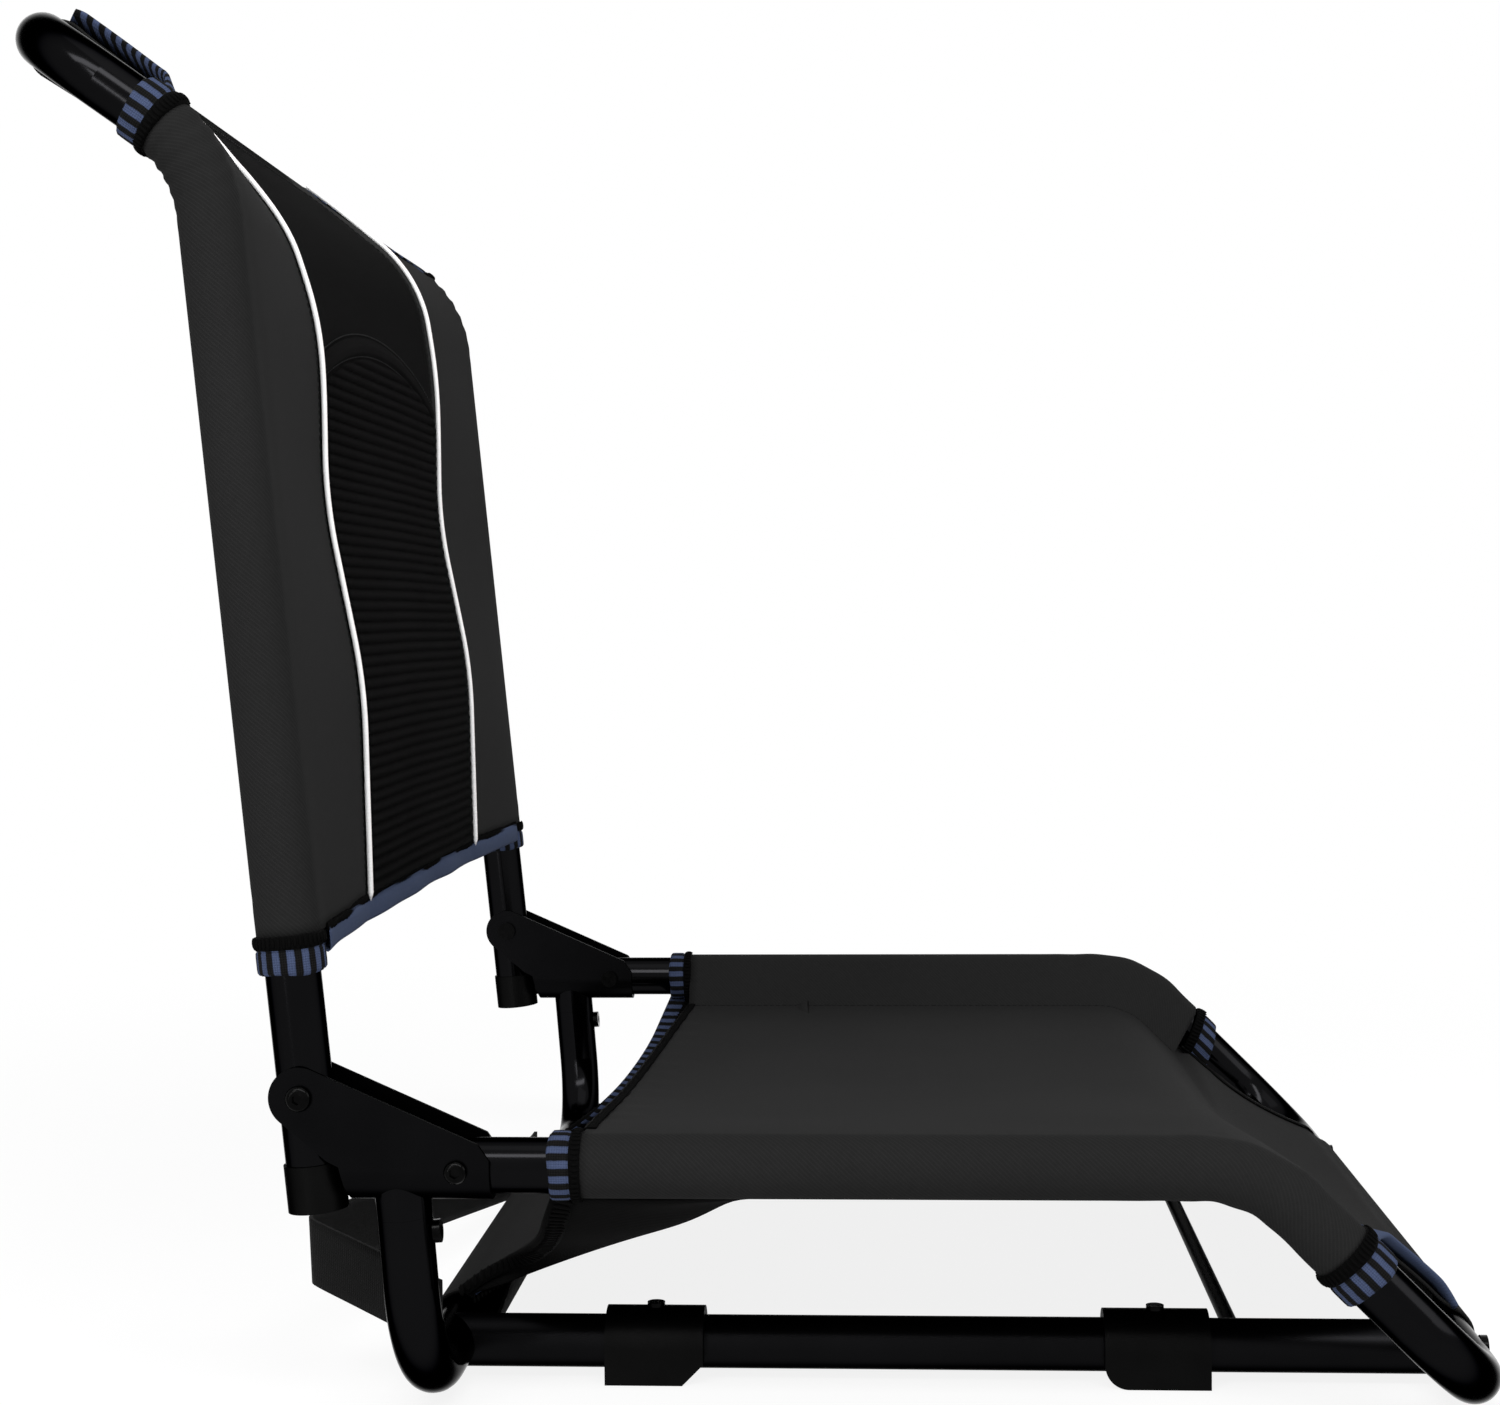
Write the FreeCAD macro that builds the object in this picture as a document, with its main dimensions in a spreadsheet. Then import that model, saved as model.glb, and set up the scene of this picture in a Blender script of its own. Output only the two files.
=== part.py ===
# Folding stadium seat: bent tube frame, cloth seat and a cloth back that folds on two hinge brackets.
# Millimetres. +X is the sitter's left, -Y is the front, +Z is up, the floor is Z = 0.
import FreeCAD, Part
import math
import os

Vector = FreeCAD.Vector
doc = FreeCAD.newDocument("StadiumSeat")
sheet = doc.addObject("Spreadsheet::Sheet", "dims")

driving = {
    "tube_od": 20.0,
    "frame_wall": 1.5,
    "leg_wall": 1.2,
    "back_wall": 1.0,
    "rail_spacing": 480.0,
    "elbow_radius": 38.0,
    "seat_bend_radius": 50.0,
    "back_bend_radius": 50.0,
    "bar_height": 13.5,
    "rail_height": 95.5,
    "hinge_rise": 26.0,
    "hinge_back": 160.8,
    "rail_end": 17.0,
    "bend_ahead": 337.5,
    "slope_angle": 45.0,
    "leg_ahead_top": 33.7,
    "leg_ahead_foot": 39.9,
    "leg_top_height": 77.0,
    "back_lean": 5.46,
    "back_tail": 40.0,
    "back_length": 337.0,
    "head_angle": 49.1,
    "head_length": 82.2,
    "base_rail_offset": 173.0,
    "base_plug_length": 20.0,
    "cross_rod_dia": 6.4,
    "cross_rod_ahead": 340.0,
    "slip_gap": 0.05,
    "seat_gap": 0.1,
    "bracket_wall": 1.5,
    "bracket_side_gap": 0.4,
    "bracket_lobe_radius": 11.0,
    "bracket_top_angle": 24.0,
    "bracket_rear_angle": 40.0,
    "bracket_front": 67.5,
    "bracket_notch_ahead": 9.5,
    "bracket_step_ahead": 13.8,
    "bracket_step_rise": 1.5,
    "bracket_end_gap": 0.4,
    "bracket_corner": 4.0,
    "rail_bolt_ahead": 55.7,
    "barrel_radius": 3.0,
    "barrel_floor": 4.0,
    "screw_radius": 2.0,
    "hinge_head_radius": 4.7,
    "rail_head_radius": 4.2,
    "head_height": 2.6,
    "flange_height": 1.6,
    "bush_radius": 4.0,
    "base_bolt_radius": 3.0,
    "base_head_radius": 4.5,
    "plug_head_radius": 9.8,
    "plug_head_length": 2.4,
    "plug_stem_length": 14.0,
    "cap_wall": 0.8,
    "cap_floor": 2.0,
    "cap_length": 17.0,
    "spigot_length": 25.0,
    "leg_screw_height": 70.9,
    "foot_wall": 3.5,
    "rear_foot_ahead": 100.0,
    "rear_foot_length": 37.4,
    "front_foot_ahead": 288.5,
    "front_foot_length": 39.5,
    "foot_bevel": 8.0,
    "foot_round": 9.0,
    "foot_screw_radius": 1.8,
    "foot_head_radius": 3.4,
    "foot_head_height": 1.6,
    "cloth_gap": 0.3,
    "cloth_thick": 1.3,
    "ring_thick": 2.1,
    "seat_sag": 14.0,
    "seat_ring_ahead": 88.0,
    "seat_ring_length": 11.0,
    "seat_scoop": 8.0,
    "binding_width": 8.0,
    "binding_extra": 0.5,
    "front_ring_start": 42.0,
    "front_ring_length": 15.0,
    "front_hem_half": 156.0,
    "front_corner_radius": 60.0,
    "front_corner_inset": 4.0,
    "front_corner_drop": 12.0,
    "front_hem_setback": 3.0,
    "hem_drop": 2.0,
    "hem_sag": 0.5,
    "flap_ahead": 165.0,
    "flap_half_top": 236.0,
    "flap_hem_half": 146.0,
    "flap_side_radius": 150.0,
    "flap_corner_drop": 6.0,
    "back_ring_start": 43.5,
    "back_ring_length": 13.5,
    "seam_offset": 123.0,
    "seam_half_gap": 0.3,
    "wave_foot": 8.0,
    "wave_low": 8.8,
    "wave_high": 1.4,
    "wave_level": 2.0,
    "wave_radius": 220.0,
    "level_below_bend": 26.16,
    "trough_below_level": 70.0,
    "crest_below_trough": 75.0,
    "rib_pitch": 5.2,
    "rib_height": 0.7,
    "pad_thick": 1.6,
    "pad_start": 0.5,
    "dome_below_bend": 13.16,
    "dome_height": 25.0,
    "piping_radius": 1.2,
    "piping_end": 4.0,
    "head_sleeve_half": 193.0,
    "head_corner_radius": 45.0,
    "head_corner_drop": 8.0,
    "upper_ring_setback": 16.0,
    "upper_ring_length": 6.3,
    "strap_width": 25.0,
    "strap_thick": 1.5,
    "strap_leg_low": 27.0,
    "strap_swing_x": 188.0,
    "strap_swing_behind": 12.0,
    "strap_swing_low": 39.0,
    "strap_swing_bend": 5.0,
    "strap_far_x": 122.0,
    "strap_far_low": 5.0,
    "strap_far_bend": 60.0,
    "strap_hem_lap": 20.0,
}
for row, (alias, value) in enumerate(driving.items(), start=1):
    sheet.set("A%d" % row, alias)
    sheet.set("B%d" % row, str(value))
    sheet.setAlias("B%d" % row, alias)
doc.recompute()
nodes = []


def size(alias):
    return float(sheet.get(alias))


def named(label, part):
    part.Label = label
    nodes.append(part)
    return part


def rod(name, radius, length, start, direction):
    part = doc.addObject("Part::Cylinder", name)
    part.setExpression("Radius", radius)
    part.setExpression("Height", length)
    part.Placement = FreeCAD.Placement(start, FreeCAD.Rotation(Vector(0, 0, 1), direction))
    return part


def hex_socket(name, radius, start, direction):
    part = doc.addObject("Part::Prism", name)
    part.Polygon = 6
    part.setExpression("Circumradius", radius)
    part.setExpression("Height", "dims.head_height * 0.6")
    part.Placement = FreeCAD.Placement(start, FreeCAD.Rotation(Vector(0, 0, 1), direction))
    return part


def block(name, corner, length, width, height):
    part = doc.addObject("Part::Box", name)
    part.setExpression("Length", length)
    part.setExpression("Width", width)
    part.setExpression("Height", height)
    part.Placement = FreeCAD.Placement(corner, FreeCAD.Rotation())
    return part


def fuse(name, *parts):
    part = doc.addObject("Part::MultiFuse", name)
    part.Shapes = list(parts)
    return part


def cut(name, base, *tools):
    part = doc.addObject("Part::Cut", name)
    part.Base = base
    part.Tool = tools[0] if len(tools) == 1 else fuse(name + "_tools", *tools)
    return part


def common(name, first, second):
    part = doc.addObject("Part::MultiCommon", name)
    part.Shapes = [first, second]
    return part


def mirrored(name, source):
    part = doc.addObject("Part::Mirroring", name)
    part.Source = source
    part.Normal = Vector(1, 0, 0)
    return part


def group(name, *parts):
    part = doc.addObject("Part::Compound", name)
    part.Links = list(parts)
    return part


def formed(name, shape):
    part = doc.addObject("Part::Feature", name)
    part.Shape = shape
    return part


def bent_path(points, radii):
    # straight runs joined by tangent arcs, one radius for each inner point
    edges = []
    start = points[0]
    for before, corner, after, radius in zip(points, points[1:], points[2:], radii):
        back = (before - corner).normalize()
        onward = (after - corner).normalize()
        half = back.getAngle(onward) / 2
        reach = radius / math.tan(half)
        middle = corner + (back + onward).normalize() * (radius / math.sin(half) - radius)
        first = corner + back * reach
        last = corner + onward * reach
        if (first - start).Length > 1e-6:
            edges.append(Part.makeLine(start, first))
        edges.append(Part.Arc(first, middle, last).toShape())
        start = last
    edges.append(Part.makeLine(start, points[-1]))
    return Part.Wire(edges)


def outline(points):
    return Part.Face(Part.makePolygon(points + points[:1]))


def swept_round(name, path, start, direction, radius):
    circle = doc.addObject("Part::Circle", name + "_circle")
    circle.setExpression("Radius", radius)
    circle.Placement = FreeCAD.Placement(start, FreeCAD.Rotation(Vector(0, 0, 1), direction))
    sweep = doc.addObject("Part::Sweep", name)
    sweep.Sections = [circle]
    sweep.Spine = (path, [])
    sweep.Solid = True
    sweep.Frenet = False
    return sweep


def bent_tube(name, points, radii, wall, *holes):
    path = formed(name + "_path", bent_path(points, radii))
    heading = points[1] - points[0]
    outer = swept_round(name + "_outer", path, points[0], heading, "dims.tube_od / 2")
    bore = swept_round(name + "_bore", path, points[0], heading, "dims.tube_od / 2 - dims." + wall)
    return cut(name, outer, bore, *holes)


def both_sides(points):
    # a run on the -X side and its mirror image, as one path
    other = [Vector(-point.x, point.y, point.z) for point in reversed(points)]
    return points + other


# Places worked out from the sheet
rail_x = size("rail_spacing") / 2
base_x = size("base_rail_offset")
tube_r = size("tube_od") / 2
bar_z = size("bar_height")
rail_z = size("rail_height")
hinge_y = size("hinge_back")
hinge_z = rail_z + size("hinge_rise")
slope = math.radians(size("slope_angle"))
lean = math.radians(size("back_lean"))
front_ahead = size("bend_ahead") + (rail_z - bar_z) / math.tan(slope)
leg_run = size("leg_ahead_foot") - size("leg_ahead_top")
across = Vector(1, 0, 0)
forward = Vector(0, -1, 0)
rearward = Vector(0, 1, 0)
upward = Vector(0, 0, 1)
inner_r = tube_r + size("cloth_gap")
sleeve_r = inner_r + size("cloth_thick")
ring_r = inner_r + size("ring_thick")


def place(x, ahead, height):
    # ahead is measured forward from the hinge axis
    return Vector(x, hinge_y - ahead, height)


def leg_ahead(height):
    return size("leg_ahead_top") + leg_run * (rail_z - height) / (rail_z - bar_z)


def on_slope(x, run, rise):
    # run is measured down the front slope from the bend, rise outward from the tube axis
    return place(
        x,
        size("bend_ahead") + run * math.cos(slope) + rise * math.sin(slope),
        rail_z - run * math.sin(slope) + rise * math.cos(slope),
    )


def on_back(x, along, rise):
    # along is measured up the back tube from the hinge axis, rise towards the sitter
    return Vector(
        x,
        hinge_y + along * math.sin(lean) - rise * math.cos(lean),
        hinge_z + along * math.cos(lean) + rise * math.sin(lean),
    )


head_tilt = lean + math.radians(size("head_angle"))
head_bend = on_back(0, size("back_length"), 0)


def on_head(x, along, rise):
    # along is measured up the head of the back from its bend
    return Vector(
        x,
        head_bend.y + along * math.sin(head_tilt) - rise * math.cos(head_tilt),
        head_bend.z + along * math.cos(head_tilt) + rise * math.sin(head_tilt),
    )


# Frame tubes of the seat
bolt_hole = "dims.barrel_radius + dims.seat_gap"
base_hole = "dims.base_bolt_radius + dims.seat_gap"
whole_width = "dims.rail_spacing + 4 * dims.tube_od"
past_side = Vector(-rail_x - 4 * tube_r, 0, 0)
tool_reach = 6 * tube_r
rail_bolt_hole = rod(
    "rail_bolt_hole", bolt_hole, whole_width,
    place(past_side.x, size("rail_bolt_ahead"), rail_z), across)
front_bar_holes = [
    rod("front_bar_hole_%d" % side, base_hole, "dims.tube_od * 2",
        place(side * base_x, front_ahead - 2 * tube_r, bar_z), forward)
    for side in (-1, 1)
]
seat_points = both_sides([
    place(-rail_x, size("rail_end"), rail_z),
    place(-rail_x, size("bend_ahead"), rail_z),
    place(-rail_x, front_ahead, bar_z),
])
elbow = size("elbow_radius")
seat_bend = size("seat_bend_radius")
named("seat_frame_tube", bent_tube(
    "seat_frame", seat_points, [seat_bend, elbow, elbow, seat_bend], "frame_wall",
    rail_bolt_hole, *front_bar_holes))

leg_top = place(-rail_x, leg_ahead(size("leg_top_height")), size("leg_top_height"))
leg_foot = place(-rail_x, leg_ahead(bar_z), bar_z)
leg_up = (leg_top - leg_foot).normalize()
leg_front = leg_up.cross(across).normalize()
if leg_front.y > 0:
    leg_front = leg_front * -1
screw_seat = place(-rail_x, leg_ahead(size("leg_screw_height")), size("leg_screw_height"))
leg_screw_hole = rod("leg_screw_hole", "dims.screw_radius + dims.seat_gap", "dims.tube_od", screw_seat, leg_front)
rear_bar_holes = [
    rod("rear_bar_hole_%d" % side, base_hole, "dims.tube_od * 2",
        place(side * base_x, leg_ahead(bar_z) + 2 * tube_r, bar_z), rearward)
    for side in (-1, 1)
]
named("rear_leg_tube", bent_tube(
    "rear_leg", both_sides([leg_top, leg_foot]), [elbow, elbow], "leg_wall",
    leg_screw_hole, mirrored("leg_screw_hole_far", leg_screw_hole), *rear_bar_holes))

# Base rails, their end plugs and bolts
bar_cope = "dims.tube_od / 2 + dims.slip_gap"
front_cope = rod("front_cope", bar_cope, whole_width, place(past_side.x, front_ahead, bar_z), across)
rear_cope = rod("rear_cope", bar_cope, whole_width, place(past_side.x, leg_ahead(bar_z), bar_z), across)
base_start = place(-base_x, leg_ahead(bar_z), bar_z)
base_length = str(front_ahead - leg_ahead(bar_z))
base_outer = rod("base_rail_outer", "dims.tube_od / 2", base_length, base_start, forward)
base_bore = rod("base_rail_bore", "dims.tube_od / 2 - dims.frame_wall", base_length, base_start, forward)
cross_rod_hole = rod(
    "cross_rod_hole", "dims.cross_rod_dia / 2 + dims.slip_gap", "dims.tube_od",
    place(-base_x, size("cross_rod_ahead"), bar_z), across)
foot_middles = {
    "rear": size("rear_foot_ahead") + size("rear_foot_length") / 2,
    "front": size("front_foot_ahead") + size("front_foot_length") / 2,
}
foot_screw_holes = [
    rod("rail_hole_" + end, "dims.foot_screw_radius + dims.slip_gap", "dims.tube_od",
        place(-base_x, middle, bar_z), upward)
    for end, middle in foot_middles.items()
]
base_rail = cut("base_rail", base_outer, base_bore, front_cope, rear_cope, cross_rod_hole, *foot_screw_holes)
named("base_rail_right", base_rail)
named("base_rail_left", mirrored("base_rail_far", base_rail))

plug_radius = "dims.tube_od / 2 - dims.frame_wall - dims.slip_gap"
base_plugs = []
base_bolts = []
for end, bar_ahead, outward, cope in (
    ("front", front_ahead, forward, front_cope),
    ("rear", leg_ahead(bar_z), rearward, rear_cope),
):
    bar_centre = place(-base_x, bar_ahead, bar_z)
    plug_start = bar_centre - outward * (size("base_plug_length") + tube_r / 2)
    plug = rod(end + "_plug_body", plug_radius, "dims.base_plug_length + dims.tube_od / 4", plug_start, outward)
    thread = rod(end + "_plug_thread", "dims.base_bolt_radius + dims.slip_gap", "dims.tube_od * 2", plug_start, outward)
    plug_cut = cut(end + "_plug", plug, cope, thread)
    head_seat = bar_centre + outward * (tube_r + size("seat_gap"))
    head = rod(end + "_bolt_head", "dims.base_head_radius", "dims.head_height", head_seat, outward)
    shank_length = "dims.tube_od + dims.seat_gap + dims.base_plug_length * 0.6"
    shank = rod(end + "_bolt_shank", "dims.base_bolt_radius", shank_length, head_seat, outward * -1)
    socket_seat = head_seat + outward * (size("head_height") * 0.5)
    socket = hex_socket(end + "_bolt_socket", "dims.base_head_radius * 0.5", socket_seat, outward)
    bolt = cut(end + "_bolt", fuse(end + "_bolt_body", head, shank), socket)
    base_plugs += [plug_cut, mirrored(end + "_plug_far", plug_cut)]
    base_bolts += [bolt, mirrored(end + "_bolt_far", bolt)]
named("base_rail_plugs", group("base_plug_group", *base_plugs))
named("base_rail_bolts", group("base_bolt_group", *base_bolts))

cross_reach = base_x - size("slip_gap")
named("cross_rod", rod(
    "cross_rod_bar", "dims.cross_rod_dia / 2", str(2 * cross_reach),
    place(-cross_reach, size("cross_rod_ahead"), bar_z), across))

# Hinge brackets: folded channels, open at the top, round under the rail
wall = size("bracket_wall")
channel_half = tube_r + size("bracket_side_gap")
bracket_half = channel_half + wall
lobe = size("bracket_lobe_radius")
top_angle = math.radians(size("bracket_top_angle"))
rear_angle = math.radians(size("bracket_rear_angle"))


def bracket_point(ahead, rise):
    return place(-rail_x - bracket_half, ahead, rail_z + rise)


hinge_rise = size("hinge_rise")
top_mark = (lobe * math.sin(top_angle), hinge_rise + lobe * math.cos(top_angle))
rear_mark = (-lobe * math.sin(rear_angle), hinge_rise - lobe * math.cos(rear_angle))
front = size("bracket_front")
front_top = top_mark[1] - (front - top_mark[0]) * math.tan(top_angle)
low = -bracket_half - wall
notch_ahead = size("bracket_notch_ahead")
notch_rise = rear_mark[1] - (notch_ahead - rear_mark[0]) * math.tan(rear_angle)
corner_cut = size("bracket_corner")
lobe_back = bracket_point(-lobe, hinge_rise)
bracket_edges = [
    Part.Arc(bracket_point(*top_mark), lobe_back, bracket_point(*rear_mark)).toShape(),
    Part.makePolygon([
        bracket_point(*rear_mark),
        bracket_point(notch_ahead, notch_rise),
        bracket_point(size("bracket_step_ahead"), size("bracket_step_rise")),
        bracket_point(size("rail_end") + size("bracket_end_gap"), low),
        bracket_point(front, low),
        bracket_point(front, front_top - corner_cut),
        bracket_point(front - corner_cut, front_top + corner_cut * math.tan(top_angle)),
        bracket_point(*top_mark),
    ]),
]
bracket_face = Part.Face(Part.Wire(Part.__sortEdges__(
    [edge for shape in bracket_edges for edge in shape.Edges])))
profile = formed("bracket_profile", bracket_face)
plate = doc.addObject("Part::Extrusion", "bracket_plate")
plate.Base = profile
plate.DirMode = "Custom"
plate.Dir = across
plate.LengthFwd = 2 * bracket_half
plate.Solid = True
plate.setExpression("LengthFwd", "dims.tube_od + 2 * dims.bracket_side_gap + 2 * dims.bracket_wall")


def channel_form(name, half, half_text):
    start = place(-rail_x, -tool_reach, rail_z)
    round_part = rod(name + "_round", half_text, "dims.tube_od * 9", start, forward)
    corner = place(-rail_x - half, 2 * tool_reach, rail_z)
    straight = block(name + "_straight", corner, "2 * (%s)" % half_text, "dims.tube_od * 9", "dims.tube_od * 4")
    return fuse(name, round_part, straight)


channel_text = "dims.tube_od / 2 + dims.bracket_side_gap"
channel_outer = channel_form("channel_outer", bracket_half, channel_text + " + dims.bracket_wall")
channel_inner = channel_form("channel_inner", channel_half, channel_text)
hinge_hole = rod("hinge_hole", bolt_hole, whole_width, place(past_side.x, 0, hinge_z), across)
bracket = cut(
    "bracket", common("bracket_blank", plate, channel_outer), channel_inner, rail_bolt_hole, hinge_hole)
named("hinge_bracket_right", bracket)
named("hinge_bracket_left", mirrored("bracket_far", bracket))

# Leg spigots under the brackets and the screws that hold the legs
spigot_radius = "dims.tube_od / 2 - dims.leg_wall - dims.slip_gap"
collar_start = leg_top + leg_up * size("slip_gap")
collar = rod("spigot_collar", "dims.tube_od / 2", "dims.tube_od * 0.8", collar_start, leg_up)
stem_start = leg_top - leg_up * size("spigot_length")
stem = rod("spigot_stem", spigot_radius, "dims.spigot_length + dims.tube_od * 0.2", stem_start, leg_up)
saddle = rod(
    "spigot_saddle", channel_text + " + dims.bracket_wall + dims.slip_gap", "dims.tube_od * 9",
    place(-rail_x, -tool_reach, rail_z), forward)
spigot = cut("spigot", fuse("spigot_body", collar, stem), saddle, leg_screw_hole)
named("leg_spigots", group("spigot_pair", spigot, mirrored("spigot_far", spigot)))

leg_head_seat = screw_seat + leg_front * (tube_r + size("seat_gap"))
leg_head = rod("leg_screw_head", "dims.rail_head_radius", "dims.head_height", leg_head_seat, leg_front)
leg_shank = rod("leg_screw_shank", "dims.screw_radius", "dims.tube_od * 0.45", leg_head_seat, leg_front * -1)
leg_socket = hex_socket(
    "leg_screw_socket", "dims.rail_head_radius * 0.5",
    leg_head_seat + leg_front * (size("head_height") * 0.5), leg_front)
leg_screw = cut("leg_screw", fuse("leg_screw_body", leg_head, leg_shank), leg_socket)
named("leg_screws", group("leg_screw_pair", leg_screw, mirrored("leg_screw_far", leg_screw)))


# Barrel nuts and their screws, along X through the brackets
def barrel_set(name, ahead, height, head_radius):
    inner_face = place(-rail_x + bracket_half + size("slip_gap"), ahead, height)
    outer_face = place(-rail_x - bracket_half - size("slip_gap"), ahead, height)
    outward = across * -1
    flange = rod(name + "_flange", head_radius, "dims.flange_height", inner_face, across)
    body_length = "2 * (%s + dims.bracket_wall)" % channel_text
    body = rod(name + "_body", "dims.barrel_radius", body_length, inner_face, outward)
    bore_start = inner_face + outward * size("barrel_floor")
    bore = rod(name + "_bore", "dims.screw_radius + dims.slip_gap", body_length, bore_start, outward)
    socket = hex_socket(name + "_socket", "dims.screw_radius", inner_face, across)
    barrel = cut(name + "_barrel", fuse(name + "_barrel_body", flange, body), bore, socket)
    head = rod(name + "_head", head_radius, "dims.head_height", outer_face, outward)
    rounding = doc.addObject("Part::Fillet", name + "_round_head")
    rounding.Base = head
    doc.recompute()
    rim = max(
        range(len(head.Shape.Edges)),
        key=lambda number: -head.Shape.Edges[number].CenterOfMass.x
        - (1000 if head.Shape.Edges[number].Curve.TypeId != "Part::GeomCircle" else 0))
    edge_round = size("head_height") * 0.75
    rounding.Edges = [(rim + 1, edge_round, edge_round)]
    shank = rod(name + "_shank", "dims.screw_radius", "dims.tube_od * 0.8", outer_face, across)
    drive = hex_socket(
        name + "_drive", "dims.screw_radius", outer_face + outward * (size("head_height") * 0.5), outward)
    screw = cut(name + "_screw", fuse(name + "_screw_body", rounding, shank), drive)
    return screw, barrel


hinge_screw, hinge_barrel = barrel_set("hinge", 0, hinge_z, "dims.hinge_head_radius")
rail_screw, rail_barrel = barrel_set("rail", size("rail_bolt_ahead"), rail_z, "dims.rail_head_radius")
named("hinge_screws", group("hinge_screw_pair", hinge_screw, mirrored("hinge_screw_far", hinge_screw)))
named("hinge_barrels", group("hinge_barrel_pair", hinge_barrel, mirrored("hinge_barrel_far", hinge_barrel)))
named("rail_screws", group("rail_screw_pair", rail_screw, mirrored("rail_screw_far", rail_screw)))
named("rail_barrels", group("rail_barrel_pair", rail_barrel, mirrored("rail_barrel_far", rail_barrel)))

bush_start = place(-rail_x - channel_half + size("slip_gap"), 0, hinge_z)
bush_length = "2 * (%s - dims.slip_gap)" % channel_text
bush = cut(
    "hinge_bush",
    rod("bush_outer", "dims.bush_radius", bush_length, bush_start, across),
    rod("bush_bore", "dims.barrel_radius + dims.slip_gap", bush_length, bush_start, across))
named("hinge_bushes", group("bush_pair", bush, mirrored("bush_far", bush)))

# Plugs in the rear ends of the seat rails, which the back tube comes to rest against
rail_end = place(-rail_x, size("rail_end"), rail_z)
plug_head = rod(
    "end_plug_head", "dims.plug_head_radius", "dims.plug_head_length - dims.slip_gap",
    rail_end + rearward * size("slip_gap"), rearward)
plug_stem = rod("end_plug_stem", plug_radius, "dims.plug_stem_length", rail_end + rearward, forward)
end_plug = fuse("end_plug", plug_head, plug_stem)
named("rail_end_plugs", group("end_plug_pair", end_plug, mirrored("end_plug_far", end_plug)))

# Feet: sleeves on the base rails with a flat sole
foot_radius = size("tube_od") / 2 + size("foot_wall")
foot_text = "dims.tube_od / 2 + dims.foot_wall"
foot_screws = []
for end in ("front", "rear"):
    start = place(-base_x, size(end + "_foot_ahead"), bar_z)
    length = "dims.%s_foot_length" % end
    sleeve = rod(end + "_foot_sleeve", foot_text, length, start, forward)
    sole_corner = Vector(start.x - foot_radius, start.y - size(end + "_foot_length"), bar_z - foot_radius)
    sole = block(end + "_foot_sole", sole_corner, "2 * (%s)" % foot_text, length, foot_text)
    blank = fuse(end + "_foot_blank", sleeve, sole)
    shaped = doc.addObject("Part::Fillet" if end == "front" else "Part::Chamfer", end + "_foot_shaped")
    shaped.Base = blank
    doc.recompute()
    edge_y = start.y if end == "front" else start.y - size("rear_foot_length")
    trim = size("foot_round") if end == "front" else size("foot_bevel")
    edge_number = min(
        range(len(blank.Shape.Edges)),
        key=lambda number: (blank.Shape.Edges[number].CenterOfMass
                            - Vector(start.x, edge_y, bar_z - foot_radius)).Length)
    shaped.Edges = [(edge_number + 1, trim, trim)]
    bore = rod(end + "_foot_bore", "dims.tube_od / 2 + dims.slip_gap", length, start, forward)
    middle = place(-base_x, foot_middles[end], bar_z)
    hole = rod(end + "_foot_hole", "dims.foot_screw_radius + dims.slip_gap", "dims.tube_od * 2", middle, upward)
    foot = cut(end + "_foot", shaped, bore, hole)
    named("foot_%s_right" % end, foot)
    named("foot_%s_left" % end, mirrored(end + "_foot_far", foot))
    head_seat = middle + upward * (foot_radius + size("slip_gap"))
    head = rod(end + "_foot_head", "dims.foot_head_radius", "dims.foot_head_height", head_seat, upward)
    shank = rod(end + "_foot_shank", "dims.foot_screw_radius", "dims.foot_wall * 2", head_seat, upward * -1)
    screw = fuse(end + "_foot_screw", head, shank)
    foot_screws += [screw, mirrored(end + "_foot_screw_far", screw)]
named("foot_screws", group("foot_screw_group", *foot_screws))

# Back tube and its end caps
hinge_bore = rod(
    "hinge_bore", "dims.bush_radius + dims.slip_gap", whole_width, place(past_side.x, 0, hinge_z), across)
back_bend = size("back_bend_radius")
back_points = both_sides([
    on_back(-rail_x, -size("back_tail"), 0),
    on_back(-rail_x, size("back_length"), 0),
    on_head(-rail_x, size("head_length"), 0),
])
named("back_frame_tube", bent_tube(
    "back_frame", back_points, [back_bend, elbow, elbow, back_bend], "back_wall", hinge_bore))

tail_way = (back_points[0] - back_points[1]).normalize()
tail_end = back_points[0]
cap_body = rod(
    "cap_body", "dims.tube_od / 2 + dims.cap_wall + dims.slip_gap", "dims.cap_length",
    tail_end + tail_way * size("cap_floor"), tail_way * -1)
cap_bore = rod(
    "cap_bore", "dims.tube_od / 2 + dims.slip_gap", "dims.cap_length",
    tail_end + tail_way * size("slip_gap"), tail_way * -1)
cap = cut("cap", cap_body, cap_bore)
named("back_tube_caps", group("cap_pair", cap, mirrored("cap_far", cap)))


# Cloth, as closed solids that stay clear of the tubes
def disc(centre, direction, radius):
    return Part.Face(Part.Wire(Part.makeCircle(radius, centre, direction)))


def joined(*solids):
    return solids[0].fuse(list(solids[1:])).removeSplitter()


def tube_clear(points, radii, radius):
    circle = Part.Wire(Part.makeCircle(radius, points[0], points[1] - points[0]))
    return bent_path(points, radii).makePipeShell([circle], True, False)


seat_clear = tube_clear(seat_points, [seat_bend, elbow, elbow, seat_bend], inner_r)
back_clear = tube_clear(back_points, [back_bend, elbow, elbow, back_bend], inner_r)
leg_points = both_sides([leg_top, leg_foot])
leg_clear = tube_clear(leg_points, [elbow, elbow], inner_r)

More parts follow.
